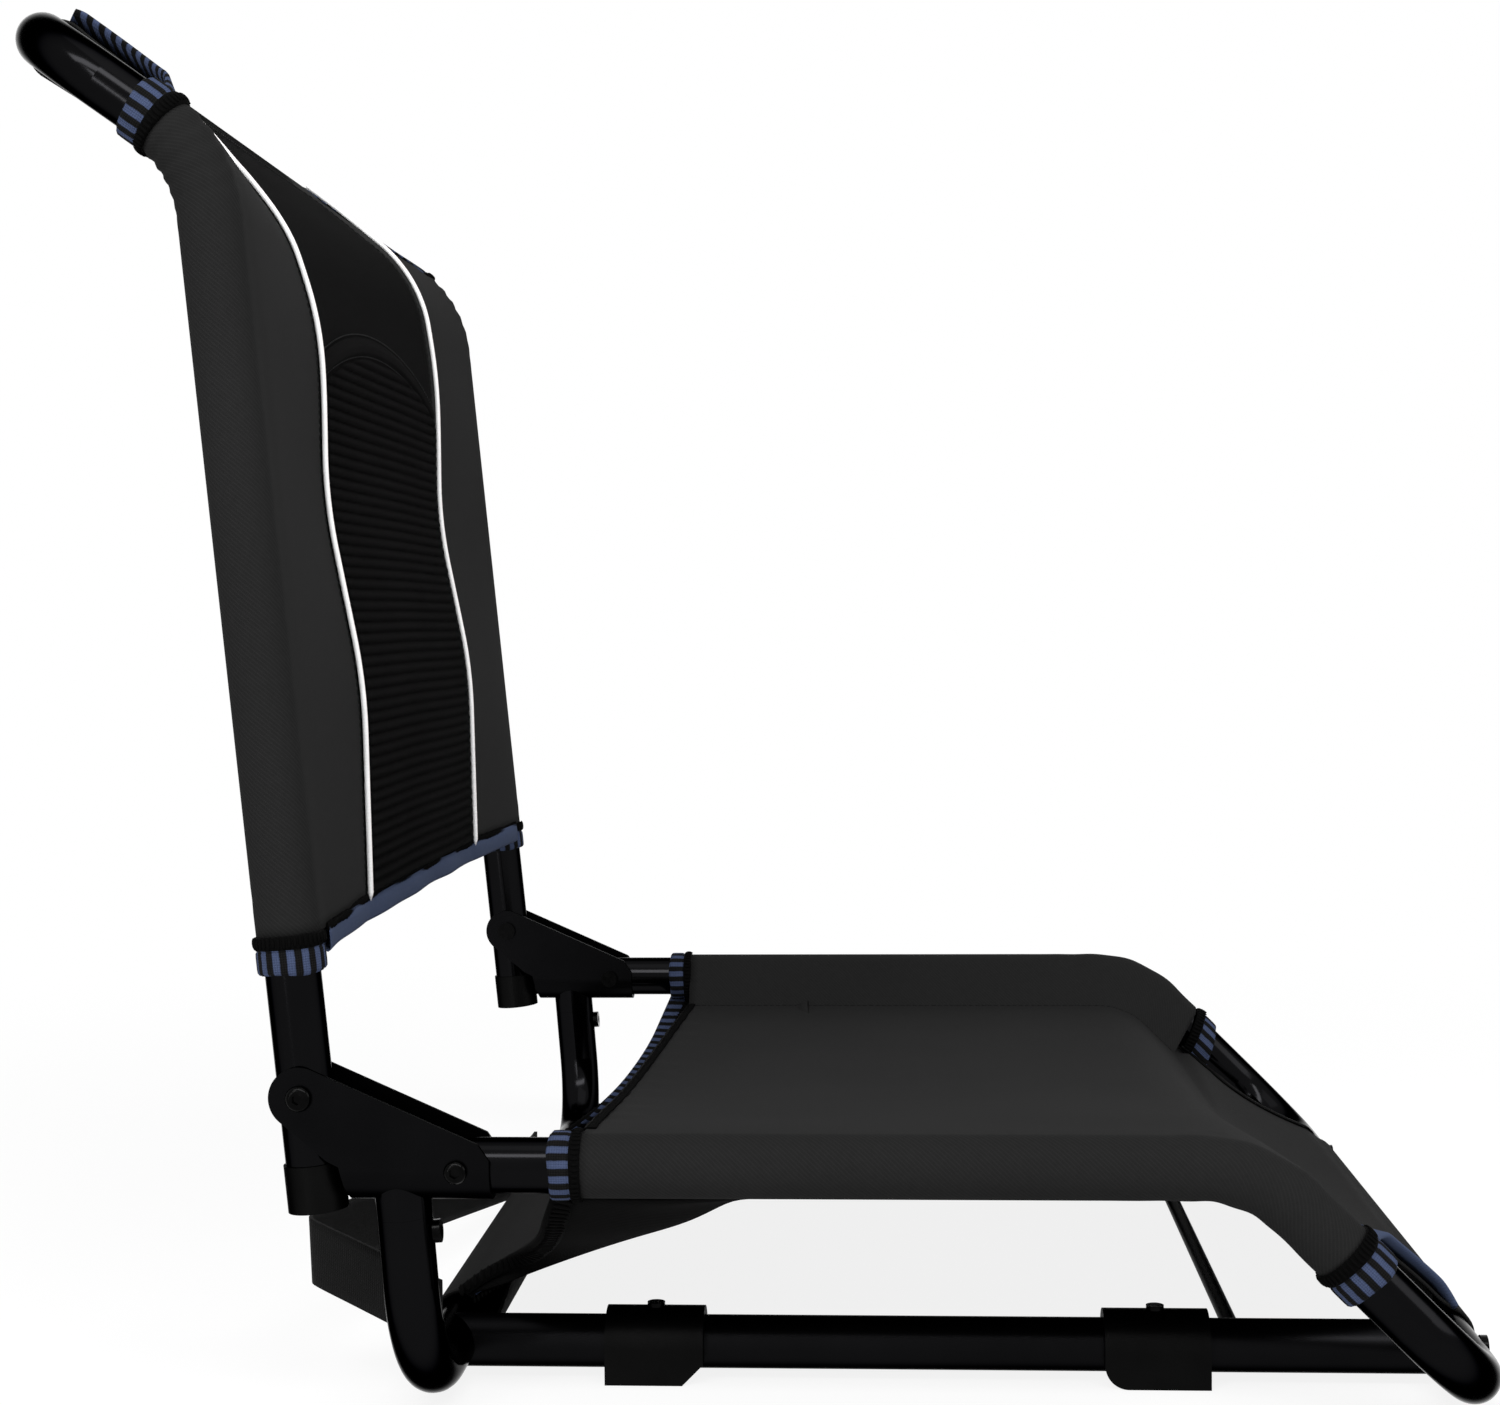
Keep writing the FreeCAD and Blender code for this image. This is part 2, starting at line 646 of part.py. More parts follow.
bend_reach = seat_bend * math.tan(slope / 2)
seat_turn = place(0, size("bend_ahead") - bend_reach, rail_z - seat_bend)
ring_start = size("seat_ring_ahead")
sling_start = ring_start + size("seat_ring_length") + size("cloth_gap")
straight_end = size("bend_ahead") - bend_reach
slope_way = on_slope(0, 1, 0) - on_slope(0, 0, 0)


def seat_run(face, rear_ahead, slope_end):
    # carries a section at the end of the level run back, round the bend and down the slope
    level = face.extrude(rearward * (straight_end - rear_ahead))
    turn = face.revolve(seat_turn, across, size("slope_angle"))
    last = face.copy()
    last.rotate(seat_turn, across, size("slope_angle"))
    return joined(level, turn, last.extrude(slope_way * (slope_end - bend_reach)))


def sag_strip(half, top, sag, thick, to_point):
    # thin arched section between -half and half, hung from its two ends
    upper = Part.Arc(to_point(-half, top), to_point(0, top - sag), to_point(half, top)).toShape()
    lower = Part.Arc(
        to_point(-half, top - thick), to_point(0, top - sag - thick), to_point(half, top - thick)).toShape()
    left = Part.makeLine(to_point(-half, top), to_point(-half, top - thick))
    right = Part.makeLine(to_point(half, top - thick), to_point(half, top))
    return Part.Wire([upper, right, lower, left])


def level_section(x, rise):
    return place(x, straight_end, rail_z + rise)


sag = size("seat_sag")
thick = size("cloth_thick")
extra = size("binding_extra")
gap = size("cloth_gap")
binding = size("binding_width")
slope_stop = size("front_ring_start") - gap
seat_cloth = seat_run(Part.Face(sag_strip(rail_x, sleeve_r, sag, thick, level_section)), ring_start, slope_stop)
sleeves = [
    seat_run(disc(level_section(side * rail_x, 0), rearward, sleeve_r), sling_start, slope_stop)
    for side in (-1, 1)
]
scoop_half = rail_x - ring_r - gap
scoop = size("seat_scoop")


def scoop_prism(shift):
    # everything behind the curved rear edge of the seat
    ahead = ring_start + shift
    low_z = rail_z - tool_reach
    edge = Part.Arc(
        place(-scoop_half, ahead, low_z), place(0, ahead + scoop, low_z), place(scoop_half, ahead, low_z)).toShape()
    rear = Part.makePolygon([
        place(scoop_half, ahead, low_z),
        place(rail_x + tool_reach, ahead, low_z),
        place(rail_x + tool_reach, ring_start - tool_reach, low_z),
        place(-rail_x - tool_reach, ring_start - tool_reach, low_z),
        place(-rail_x - tool_reach, ahead, low_z),
        place(-scoop_half, ahead, low_z),
    ])
    return Part.Face(Part.Wire([edge] + rear.Edges)).extrude(upward * (2 * tool_reach))


ring_length = size("seat_ring_length")
sling_body = joined(seat_cloth, *sleeves).cut(seat_clear).cut(scoop_prism(ring_length + gap))
named("seat_sling", formed("sling", sling_body))

edge_cloth = seat_run(
    Part.Face(sag_strip(rail_x, sleeve_r + extra, sag, thick + 2 * extra, level_section)),
    ring_start, slope_stop)
side_trim = Part.makeBox(
    2 * scoop_half, straight_end, 2 * tool_reach, place(-scoop_half, straight_end, rail_z - tool_reach))
rear_edge = edge_cloth.common(side_trim).common(scoop_prism(ring_length)).cut(
    scoop_prism(ring_length - binding))
named("seat_rear_binding", formed("rear_binding", rear_edge))


def ring_pair(name, start, direction, length):
    outer = rod(name + "_outer", "dims.tube_od / 2 + dims.cloth_gap + dims.ring_thick", length, start, direction)
    bore = rod(name + "_bore", "dims.tube_od / 2 + dims.cloth_gap", length, start, direction)
    ring = cut(name, outer, bore)
    return group(name + "_pair", ring, mirrored(name + "_far", ring))


named("seat_rear_rings", ring_pair(
    "rear_ring", place(-rail_x, ring_start, rail_z), forward, "dims.seat_ring_length"))
named("seat_front_rings", ring_pair(
    "front_ring", on_slope(-rail_x, size("front_ring_start"), 0), slope_way, "dims.front_ring_length"))

# Front panel, from the end of the sleeves down to the hem on the front crossbar
slope_length = (rail_z - bar_z) / math.sin(slope)
hem_half = size("front_hem_half")
panel_half = rail_x - ring_r - gap


def front_form(grow):
    top_sag = sag * (panel_half / rail_x) ** 2
    top_rise = sleeve_r - sag + top_sag + grow
    first = sag_strip(
        panel_half, top_rise, top_sag, thick + 2 * grow,
        lambda x, rise: on_slope(x, slope_stop + gap, rise))
    last = sag_strip(
        hem_half, sleeve_r - size("hem_drop") + grow, size("hem_sag"), thick + 2 * grow,
        lambda x, rise: on_slope(x, slope_length - size("front_hem_setback"), rise))
    return Part.makeLoft([first, last], True, True)


def corner_post(x, along, radius, to_point):
    # round cutter standing square to the panel
    low_point = to_point(x, along, -tool_reach)
    return Part.makeCylinder(radius, 2 * tool_reach, low_point, to_point(x, along, tool_reach) - low_point)


corner_r = size("front_corner_radius")
ring_stop = size("front_ring_start") + size("front_ring_length")
corner_start = hem_half + size("front_corner_inset")
chord = (panel_half - corner_start, slope_length - size("front_corner_drop") - ring_stop)
chord_length = math.hypot(*chord)
chord_drop = math.sqrt(corner_r ** 2 - chord_length ** 2 / 4)
corner_x = corner_start + chord[0] / 2 + chord_drop * chord[1] / chord_length
corner_run = ring_stop + chord[1] / 2 + chord_drop * chord[0] / chord_length
front_hem_start = place(-hem_half, front_ahead, bar_z)
front_hem = Part.makeCylinder(sleeve_r, 2 * hem_half, front_hem_start, across)
front_panel = joined(front_form(0), front_hem).cut(seat_clear)
front_bindings = []
for side in (-1, 1):
    outer_post = corner_post(side * corner_x, corner_run, corner_r + binding + gap, on_slope)
    inner_post = corner_post(side * corner_x, corner_run, corner_r + binding, on_slope)
    edge_post = corner_post(side * corner_x, corner_run, corner_r, on_slope)
    hem_guard = Part.makeCylinder(sleeve_r + gap, 2 * hem_half, front_hem_start, across)
    front_bindings.append(
        front_form(extra).common(inner_post).cut(edge_post).cut(seat_clear).cut(hem_guard))
    front_panel = front_panel.cut(outer_post.cut(hem_guard))
named("seat_front_panel", formed("front_panel", front_panel))
named("seat_front_bindings", formed("front_bindings", Part.makeCompound(front_bindings)))

# Flap under the seat, from below the sleeves back to a hem on the rear crossbar
flap_half = size("flap_half_top")
flap_hem = size("flap_hem_half")
flap_top = place(0, size("flap_ahead"), rail_z - sleeve_r - gap - thick)
rear_bar = place(0, leg_ahead(bar_z), bar_z)
flap_way = (flap_top - rear_bar).normalize()
flap_rise = across.cross(flap_way).normalize()
if flap_rise.z < 0:
    flap_rise = flap_rise * -1
flap_foot = rear_bar + flap_rise * (sleeve_r - size("hem_drop"))
flap_strip = outline([
    flap_top - across * flap_half,
    flap_foot - across * flap_half,
    flap_foot - across * flap_half - flap_rise * thick,
    flap_top - across * flap_half - flap_rise * thick,
])
flap_hem_start = rear_bar - across * flap_hem
flap = flap_strip.extrude(across * (2 * flap_half))
flap_r = size("flap_side_radius")
flap_length = (flap_top - flap_foot).Length
flap_chord = (flap_half - flap_hem, flap_length - size("flap_corner_drop"))
flap_chord_length = math.hypot(*flap_chord)
flap_drop = math.sqrt(flap_r ** 2 - flap_chord_length ** 2 / 4)
flap_x = flap_hem + flap_chord[0] / 2 + flap_drop * flap_chord[1] / flap_chord_length
flap_along = flap_length / 2 - flap_drop * flap_chord[0] / flap_chord_length


def on_flap(x, along, rise):
    return flap_foot + across * x + flap_way * along + flap_rise * rise


for side in (-1, 1):
    flap = flap.cut(corner_post(side * flap_x, flap_along, flap_r, on_flap))
flap = joined(flap, Part.makeCylinder(sleeve_r, 2 * flap_hem, flap_hem_start, across)).cut(leg_clear)
named("seat_underflap", formed("underflap", flap))

# Carry strap: webbing on edge, from inside one leg round behind it to the hem on the rear crossbar
strap_width = size("strap_width")
strap_thick = size("strap_thick")
leg_low = size("strap_leg_low")
far_low = size("strap_far_low")
swing_low = size("strap_swing_low")
swing = place(-size("strap_swing_x"), -size("strap_swing_behind"), 0)
to_leg = place(-rail_x, leg_ahead(leg_low + strap_width / 2), 0) - swing
leg_stand = inner_r + strap_thick
leg_turn = math.degrees(math.asin(leg_stand / to_leg.Length))
leg_way = FreeCAD.Rotation(upward, leg_turn).multVec(to_leg).normalize()
strap_start = swing + leg_way * math.sqrt(to_leg.Length ** 2 - leg_stand ** 2)
hem_back = leg_ahead(bar_z) - sleeve_r - gap
strap_far = place(size("strap_far_x"), hem_back, 0)
strap_end = strap_far + across * size("strap_hem_lap")
strap_wire = bent_path(
    [strap_start, swing, strap_far, strap_end], [size("strap_swing_bend"), size("strap_far_bend")])
far_way = (strap_far - swing).normalize()
strap_lay = (leg_way + far_way).normalize() * (-strap_thick / math.sin(leg_way.getAngle(far_way) / 2))
strap_ends = [Part.makeLine(point, point + strap_lay) for point in (strap_start, strap_end)]
strap_edges = strap_wire.Edges + strap_wire.translated(strap_lay).Edges + strap_ends
strap_plan = Part.Face(Part.Wire(Part.sortEdges(strap_edges)[0]))
band_back = swing.y + strap_width
strap_low = [
    Vector(strap_start.x - strap_width, band_back, leg_low),
    Vector(strap_start.x, band_back, leg_low),
    Vector(swing.x, band_back, swing_low),
    Vector(strap_far.x, band_back, far_low),
    Vector(strap_end.x + strap_width, band_back, far_low),
]
strap_high = [point + upward * strap_width for point in reversed(strap_low)]
strap_band = outline(strap_low + strap_high).extrude(forward * (band_back - strap_start.y + strap_width))
strap = strap_plan.extrude(upward * (swing_low + strap_width)).common(strap_band).cut(leg_clear)
named("carry_strap", formed("strap", strap))

# Back cloth: a wavy profile up the middle, drawn out to the side tubes
head_half = math.radians(size("head_angle")) / 2
back_reach = back_bend * math.tan(head_half)
panel_start = size("back_ring_start") + size("back_ring_length") + gap
bend_start = size("back_length") - back_reach
seam = size("seam_offset")
seam_gap = size("seam_half_gap")
wave_low = size("wave_low")
wave_high = size("wave_high")
wave_level = size("wave_level")
level_along = bend_start - size("level_below_bend")
trough_along = level_along - size("trough_below_level")
crest_along = trough_along - size("crest_below_trough")
wave_marks = [
    (panel_start, size("wave_foot")), (crest_along, wave_high), (trough_along, wave_low),
    (level_along, wave_level), (bend_start, wave_level),
]
wave_radius = size("wave_radius")


def wave_wire(x, rise):
    points = [on_back(x, along, sleeve_r - recess + rise) for along, recess in wave_marks]
    return bent_path(points, [wave_radius] * 3)


def wave_samples():
    # recess of the cloth behind the tube fronts, read off the profile every few millimetres
    found = []
    for point in wave_wire(0, 0).discretize(Number=240):
        way = point - on_back(0, 0, 0)
        up_way = on_back(0, 1, 0) - on_back(0, 0, 0)
        out_way = on_back(0, 0, 1) - on_back(0, 0, 0)
        found.append((way.dot(up_way), sleeve_r - way.dot(out_way)))
    return found


recess_table = wave_samples()


def recess(along):
    return min(recess_table, key=lambda pair: abs(pair[0] - along))[1]


def profile_face(x, low_rise, high_rise):
    low_wire = wave_wire(x, low_rise)
    high_wire = wave_wire(x, high_rise)
    ends = [
        Part.makeLine(low_wire.OrderedVertexes[side].Point, high_wire.OrderedVertexes[side].Point)
        for side in (0, -1)
    ]
    return Part.Face(Part.Wire(Part.__sortEdges__(low_wire.Edges + high_wire.Edges + ends)))


head_turn = on_back(0, bend_start, -back_bend)
head_length = size("head_length")
head_way = on_head(0, 1, 0) - on_head(0, 0, 0)


def head_run(face, angle, length):
    # carries a section from the start of the head bend round it and up the head
    turn = face.revolve(head_turn, across, -angle)
    if length == 0:
        return turn
    last = face.copy()
    last.rotate(head_turn, across, -angle)
    return joined(turn, last.extrude(head_way * length))


def strip_section(points):
    return outline([on_back(x, bend_start, rise) for x, rise in points])


head_bar = on_head(0, head_length, 0)
head_angle = size("head_angle")
middle_half = seam - seam_gap
middle_top = sleeve_r - wave_level
middle_straight = profile_face(-middle_half, -thick, 0).extrude(across * (2 * middle_half))
middle_head = head_run(
    strip_section([
        (-middle_half, middle_top), (middle_half, middle_top),
        (middle_half, middle_top - thick), (-middle_half, middle_top - thick),
    ]), head_angle, head_length - back_reach)
middle_hem = Part.makeCylinder(sleeve_r, 2 * middle_half, head_bar - across * middle_half, across)
middle = joined(middle_straight, middle_head, middle_hem).cut(back_clear)
named("back_middle_panel", formed("middle_panel", middle))

ring_back = back_reach - size("upper_ring_setback")
ring_end_angle = head_angle - math.degrees(math.atan(ring_back / back_bend))
head_ring_length = size("upper_ring_length")
head_ring_top = back_reach + head_ring_length
head_sleeve = size("head_sleeve_half")
head_corner_r = size("head_corner_radius")
head_chord = (panel_half - head_sleeve, head_length - size("head_corner_drop") - head_ring_top)
head_chord_length = math.hypot(*head_chord)
head_drop = math.sqrt(head_corner_r ** 2 - head_chord_length ** 2 / 4)
head_corner_x = head_sleeve + head_chord[0] / 2 + head_drop * head_chord[1] / head_chord_length
head_corner_along = head_ring_top + head_chord[1] / 2 + head_drop * head_chord[0] / head_chord_length
stations = [panel_start + (bend_start - panel_start) * step / 16 for step in range(17)]


def side_form(side, grow, outer_x):
    # thin sheet from the seam to the tube, straight part and head part
    reach = (outer_x - seam - seam_gap) / (rail_x - seam - seam_gap)

    def section(along):
        inner_rise = sleeve_r - recess(along)
        outer_rise = inner_rise + (sleeve_r - inner_rise) * reach
        corners = [
            (seam + seam_gap, inner_rise + grow), (outer_x, outer_rise + grow),
            (outer_x, outer_rise - thick - grow), (seam + seam_gap, inner_rise - thick - grow),
        ]
        return [on_back(side * x, along, rise) for x, rise in corners]

    wires = [Part.makePolygon(section(along) + section(along)[:1]) for along in stations]
    straight = Part.makeLoft(wires, True, False)
    return joined(straight, head_run(outline(section(bend_start)), head_angle, head_length - back_reach))


head_bindings = []
upper_rings = []
for side, label in ((-1, "right"), (1, "left")):
    axis_point = on_back(side * rail_x, bend_start, 0)
    up_way = on_back(0, 1, 0) - on_back(0, 0, 0)
    sleeve_low = Part.makeCylinder(sleeve_r, bend_start - panel_start, on_back(side * rail_x, panel_start, 0), up_way)
    sleeve_turn = disc(axis_point, up_way, sleeve_r).revolve(head_turn, across, -ring_end_angle)
    hem_start = head_bar + across * (seam + seam_gap if side > 0 else -head_sleeve)
    hem_long = head_sleeve - seam - seam_gap
    hem = Part.makeCylinder(sleeve_r, hem_long, hem_start, across)
    hem_guard = Part.makeCylinder(sleeve_r + gap, hem_long, hem_start, across)

    ring_face = disc(axis_point, up_way, ring_r)
    guard_face = disc(axis_point, up_way, ring_r + gap)
    for face in (ring_face, guard_face):
        face.rotate(head_turn, across, -ring_end_angle)
    turn_left = head_angle - ring_end_angle

    def ring_form(face, length):
        last = face.copy()
        last.rotate(head_turn, across, -turn_left)
        return joined(face.revolve(head_turn, across, -turn_left), last.extrude(head_way * length))

    upper_rings.append(ring_form(ring_face, head_ring_length).cut(back_clear))
    ring_guard = ring_form(guard_face, head_ring_length + gap)

    cutters = [
        corner_post(side * head_corner_x, head_corner_along, head_corner_r + grow, on_head)
        for grow in (0, binding, binding + gap)
    ]
    sheet_form = side_form(side, 0, rail_x)
    panel = joined(sheet_form, sleeve_low, sleeve_turn).cut(ring_guard)
    panel = joined(panel.cut(cutters[2]), hem).cut(back_clear)
    named("back_panel_" + label, formed("side_panel_" + label, panel))
    edge = side_form(side, extra, rail_x).common(cutters[1]).cut(cutters[0])
    head_bindings.append(edge.cut(ring_guard).cut(hem_guard).cut(back_clear))
named("back_head_bindings", formed("head_bindings", Part.makeCompound(head_bindings)))
named("back_upper_rings", formed("upper_rings", Part.makeCompound(upper_rings)))
named("back_lower_rings", ring_pair(
    "lower_ring", on_back(-rail_x, size("back_ring_start"), 0), on_back(0, 1, 0) - on_back(0, 0, 0),
    "dims.back_ring_length"))

# Binding along the lower edge of the back
edge_half = rail_x - ring_r - gap
edge_rise = sleeve_r + extra
low_recess = recess(panel_start)
side_recess = low_recess * (rail_x - edge_half) / (rail_x - seam)
edge_top = panel_start - gap
edge_marks = [(-edge_half, side_recess), (-seam, low_recess), (seam, low_recess), (edge_half, side_recess)]
edge_points = [(x, edge_rise - drop) for x, drop in edge_marks]
edge_points += [(x, edge_rise - drop - thick - 2 * extra) for x, drop in reversed(edge_marks)]
edge_face = outline([on_back(x, edge_top, rise) for x, rise in edge_points])
bottom_edge = edge_face.extrude((on_back(0, 0, 0) - on_back(0, 1, 0)) * binding)
named("back_bottom_binding", formed("bottom_binding", bottom_edge))

# Ribbed lumbar pad on the middle panel, domed at the top
pad_half = seam - size("piping_radius") - gap
pitch = size("rib_pitch")
pad_low = panel_start + size("pad_start")
dome_top = bend_start - size("dome_below_bend")
dome_side = dome_top - size("dome_height")
rib_count = int((dome_top - pad_low) / pitch) + 1
pad_rise = gap + size("pad_thick")


def pad_point(along, rise):
    return on_back(-pad_half, along, sleeve_r - recess(along) + rise)


rib_marks = [pad_low + pitch * number for number in range(rib_count + 1)]
ribs = [
    Part.Arc(
        pad_point(start, pad_rise), pad_point(start + pitch / 2, pad_rise + size("rib_height")),
        pad_point(start + pitch, pad_rise)).toShape()
    for start in rib_marks[:-1]
]
under_points = [pad_point(along, gap) for along in rib_marks[::2]]
if len(rib_marks) % 2 == 0:
    under_points.append(pad_point(rib_marks[-1], gap))
pad_rest = Part.makePolygon(
    [pad_point(rib_marks[0], pad_rise)] + under_points + [pad_point(rib_marks[-1], pad_rise)])
pad_face = Part.Face(Part.Wire(Part.__sortEdges__(ribs + pad_rest.Edges)))
pad = pad_face.extrude(across * (2 * pad_half))
dome_edge = Part.Arc(
    on_back(-seam, dome_side, -tool_reach), on_back(0, dome_top, -tool_reach),
    on_back(seam, dome_side, -tool_reach)).toShape()
dome_rest = Part.makePolygon([
    on_back(seam, dome_side, -tool_reach), on_back(seam, dome_top + tool_reach, -tool_reach),
    on_back(-seam, dome_top + tool_reach, -tool_reach), on_back(-seam, dome_side, -tool_reach),
])
dome = Part.Face(Part.Wire([dome_edge] + dome_rest.Edges)).extrude(
    (on_back(0, 0, 1) - on_back(0, 0, 0)) * (2 * tool_reach))
named("lumbar_pad", formed("pad", pad.cut(dome)))

# Piping over the two seams, up the back, round the bend and up the head
piping_r = size("piping_radius")
for side, label in ((-1, "right"), (1, "left")):
    rise = gap + piping_r
    bend_rise = sleeve_r - wave_level + rise
    marks = [on_back(side * seam, along, sleeve_r - depth + rise) for along, depth in wave_marks[:-1]]
    bend_corner = on_back(side * seam, size("back_length") + bend_rise * math.tan(head_half), bend_rise)
    marks += [bend_corner, on_head(side * seam, head_length - sleeve_r - size("piping_end"), bend_rise)]
    path = formed("piping_path_" + label, bent_path(marks, [wave_radius] * 3 + [back_bend + bend_rise]))
    bead = swept_round("piping_bead_" + label, path, marks[0], marks[1] - marks[0], "dims.piping_radius")
    named("piping_" + label, bead)

doc.recompute()
os.makedirs("parts", exist_ok=True)
faults = []
for part in doc.Objects:
    if "Invalid" in part.State or "Error" in part.State:
        faults.append("%s is in state %s" % (part.Name, part.State))
for part in nodes:
    if part.Shape.isNull() or not part.Shape.isValid() or part.Shape.Volume <= 0:
        faults.append("%s has no valid solid" % part.Label)
if faults:
    raise RuntimeError("; ".join(faults))
for part in nodes:
    part.Shape.exportStep("parts/%s.step" % part.Label)
    box = part.Shape.optimalBoundingBox()
    print("%s solids %d volume %.0f z %.2f to %.2f" % (
        part.Label, len(part.Shape.Solids), part.Shape.Volume, box.ZMin, box.ZMax))
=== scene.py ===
import bpy
import bmesh
import math
import numpy as np
from mathutils import Matrix, Vector


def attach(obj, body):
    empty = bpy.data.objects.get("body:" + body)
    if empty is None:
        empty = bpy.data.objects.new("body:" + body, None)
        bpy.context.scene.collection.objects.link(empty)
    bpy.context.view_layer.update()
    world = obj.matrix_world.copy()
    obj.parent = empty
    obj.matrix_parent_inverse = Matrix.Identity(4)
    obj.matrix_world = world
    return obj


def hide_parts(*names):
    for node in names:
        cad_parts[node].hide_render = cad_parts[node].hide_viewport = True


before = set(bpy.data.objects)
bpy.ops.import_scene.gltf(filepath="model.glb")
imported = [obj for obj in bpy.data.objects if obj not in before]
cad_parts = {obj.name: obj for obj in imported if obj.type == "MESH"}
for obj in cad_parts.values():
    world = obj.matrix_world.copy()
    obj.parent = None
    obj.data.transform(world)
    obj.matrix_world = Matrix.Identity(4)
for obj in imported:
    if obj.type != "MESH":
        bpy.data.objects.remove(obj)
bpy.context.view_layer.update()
print("frame loaded with", len(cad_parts), "nodes")

mm = 0.001
turn = 2 * math.pi

# sizes of the tube frame that the cloth hangs on, in millimetres and radians
tubes = {
    "hingeY": 160.8, "hingeZ": 121.5, "railX": 240.0, "railZ": 95.5, "barZ": 13.5,
    "bendAhead": 337.5, "seatBend": 50.0, "slope": math.radians(45.0), "slopeLength": 115.97,
    "lean": math.radians(5.46), "headTurn": math.radians(49.1),
    "backLength": 337.0, "backBend": 50.0, "headLength": 82.2, "sleeve": 11.6, "rearBarAhead": 39.9,
}


def joined(*parts):
    # arrays of any matching shapes side by side, as the last axis
    return np.stack(np.broadcast_arrays(*parts), -1)


def unit(vectors):
    return vectors / np.linalg.norm(vectors, axis=-1)[..., None]


def distances(line):
    # how far each point of a line is from its first
    return np.concatenate([[0], np.cumsum(np.linalg.norm(np.diff(line, axis=0), axis=1))])


# paths of the seat rails and of the back tube

def onSeat(x, s, rise):
    # s runs forward along the rail from below the hinge, round the bend and down the slope
    t = tubes
    s = np.asarray(s, float)
    start = t["bendAhead"] - t["seatBend"] * math.tan(t["slope"] / 2)
    bent = np.clip((s - start) / t["seatBend"], 0, t["slope"])
    down = np.maximum(s - start - t["seatBend"] * t["slope"], 0)
    ahead = np.minimum(s, start) + t["seatBend"] * np.sin(bent) + down * math.cos(t["slope"])
    height = t["railZ"] - t["seatBend"] * (1 - np.cos(bent)) - down * math.sin(t["slope"])
    y = t["hingeY"] - ahead - rise * np.sin(bent)
    z = height + rise * np.cos(bent)
    return joined(np.asarray(x, float), y, z)


def slopeAt(run):
    # run is measured down the slope from where the rail and slope lines cross
    t = tubes
    reach = t["seatBend"] * math.tan(t["slope"] / 2)
    return t["bendAhead"] - reach + t["seatBend"] * t["slope"] + run - reach


def onBack(x, s, rise):
    # s runs up the back tube from the hinge, round the head bend and up the head
    t = tubes
    s = np.asarray(s, float)
    start = t["backLength"] - t["backBend"] * math.tan(t["headTurn"] / 2)
    angle = t["lean"] + np.clip((s - start) / t["backBend"], 0, t["headTurn"])
    up = np.maximum(s - start - t["backBend"] * t["headTurn"], 0)
    level = np.minimum(s, start)
    tilt = t["lean"] + t["headTurn"]
    y = t["hingeY"] + level * math.sin(t["lean"]) + t["backBend"] * (math.cos(t["lean"]) - np.cos(angle))
    z = t["hingeZ"] + level * math.cos(t["lean"]) + t["backBend"] * (np.sin(angle) - math.sin(t["lean"]))
    rise = rise - headPull(np.asarray(x, float), s)
    y = y + up * math.sin(tilt) - rise * np.cos(angle)
    z = z + up * math.cos(tilt) + rise * np.sin(angle)
    return joined(np.asarray(x, float), y, z)


def headAt(along):
    # along is measured up the head from where the back and head lines cross
    t = tubes
    reach = t["backBend"] * math.tan(t["headTurn"] / 2)
    return t["backLength"] - reach + t["backBend"] * t["headTurn"] + along - reach


pullLook = {"middle": 342.0, "below": 42.0, "above": 34.0, "depth": 10.5, "near": 1.0, "far": 0.28,
            "reach": 117.0, "seam": 123.0}


def headPull(x, s):
    # the cloth is drawn back round the head bend, more on the near side
    look = pullLook
    width = np.where(s < look["middle"], look["below"], look["above"])
    depth = look["depth"] * np.exp(-((s - look["middle"]) / width) ** 2)
    tip = (look["near"] + look["far"]) / 2 - (look["near"] - look["far"]) / 2 * np.clip(x / look["seam"], -1, 1)
    return depth * tip * np.clip((tubes["railX"] - np.abs(x)) / look["reach"], 0, 1)


backWave = {"soften": 41, "marks": [
    (30, 10.1), (57.3, 8.0), (143, 1.4), (218, 8.8), (288, 2.0), (314.2, 2.0), (460, 2.0)]}
waveGrid = np.arange(30.0, 460.0)
waveRaw = np.interp(waveGrid, *zip(*backWave["marks"]))
wavePad = np.pad(waveRaw, backWave["soften"] // 2, mode="edge")
waveTable = np.convolve(wavePad, np.ones(backWave["soften"]) / backWave["soften"], mode="valid")


def panelRise(s):
    # how far the middle of the back stands in front of the tube axis
    return tubes["sleeve"] - np.interp(s, waveGrid, waveTable)


def ripple(a, b, seed, count=7, low=0.6, high=1.6):
    # small soft unevenness between about -1 and 1, always the same for one seed
    dice = np.random.RandomState(seed)
    total = 0
    for number in range(count):
        heading = dice.uniform(0, turn)
        pace = dice.uniform(low, high)
        total = total + np.sin(pace * (a * math.cos(heading) + b * math.sin(heading)) + dice.uniform(0, 6.28))
    return total / math.sqrt(count) * 0.7


def ease(value):
    value = np.clip(value, 0, 1)
    return value * value * (3 - 2 * value)


# shader writing

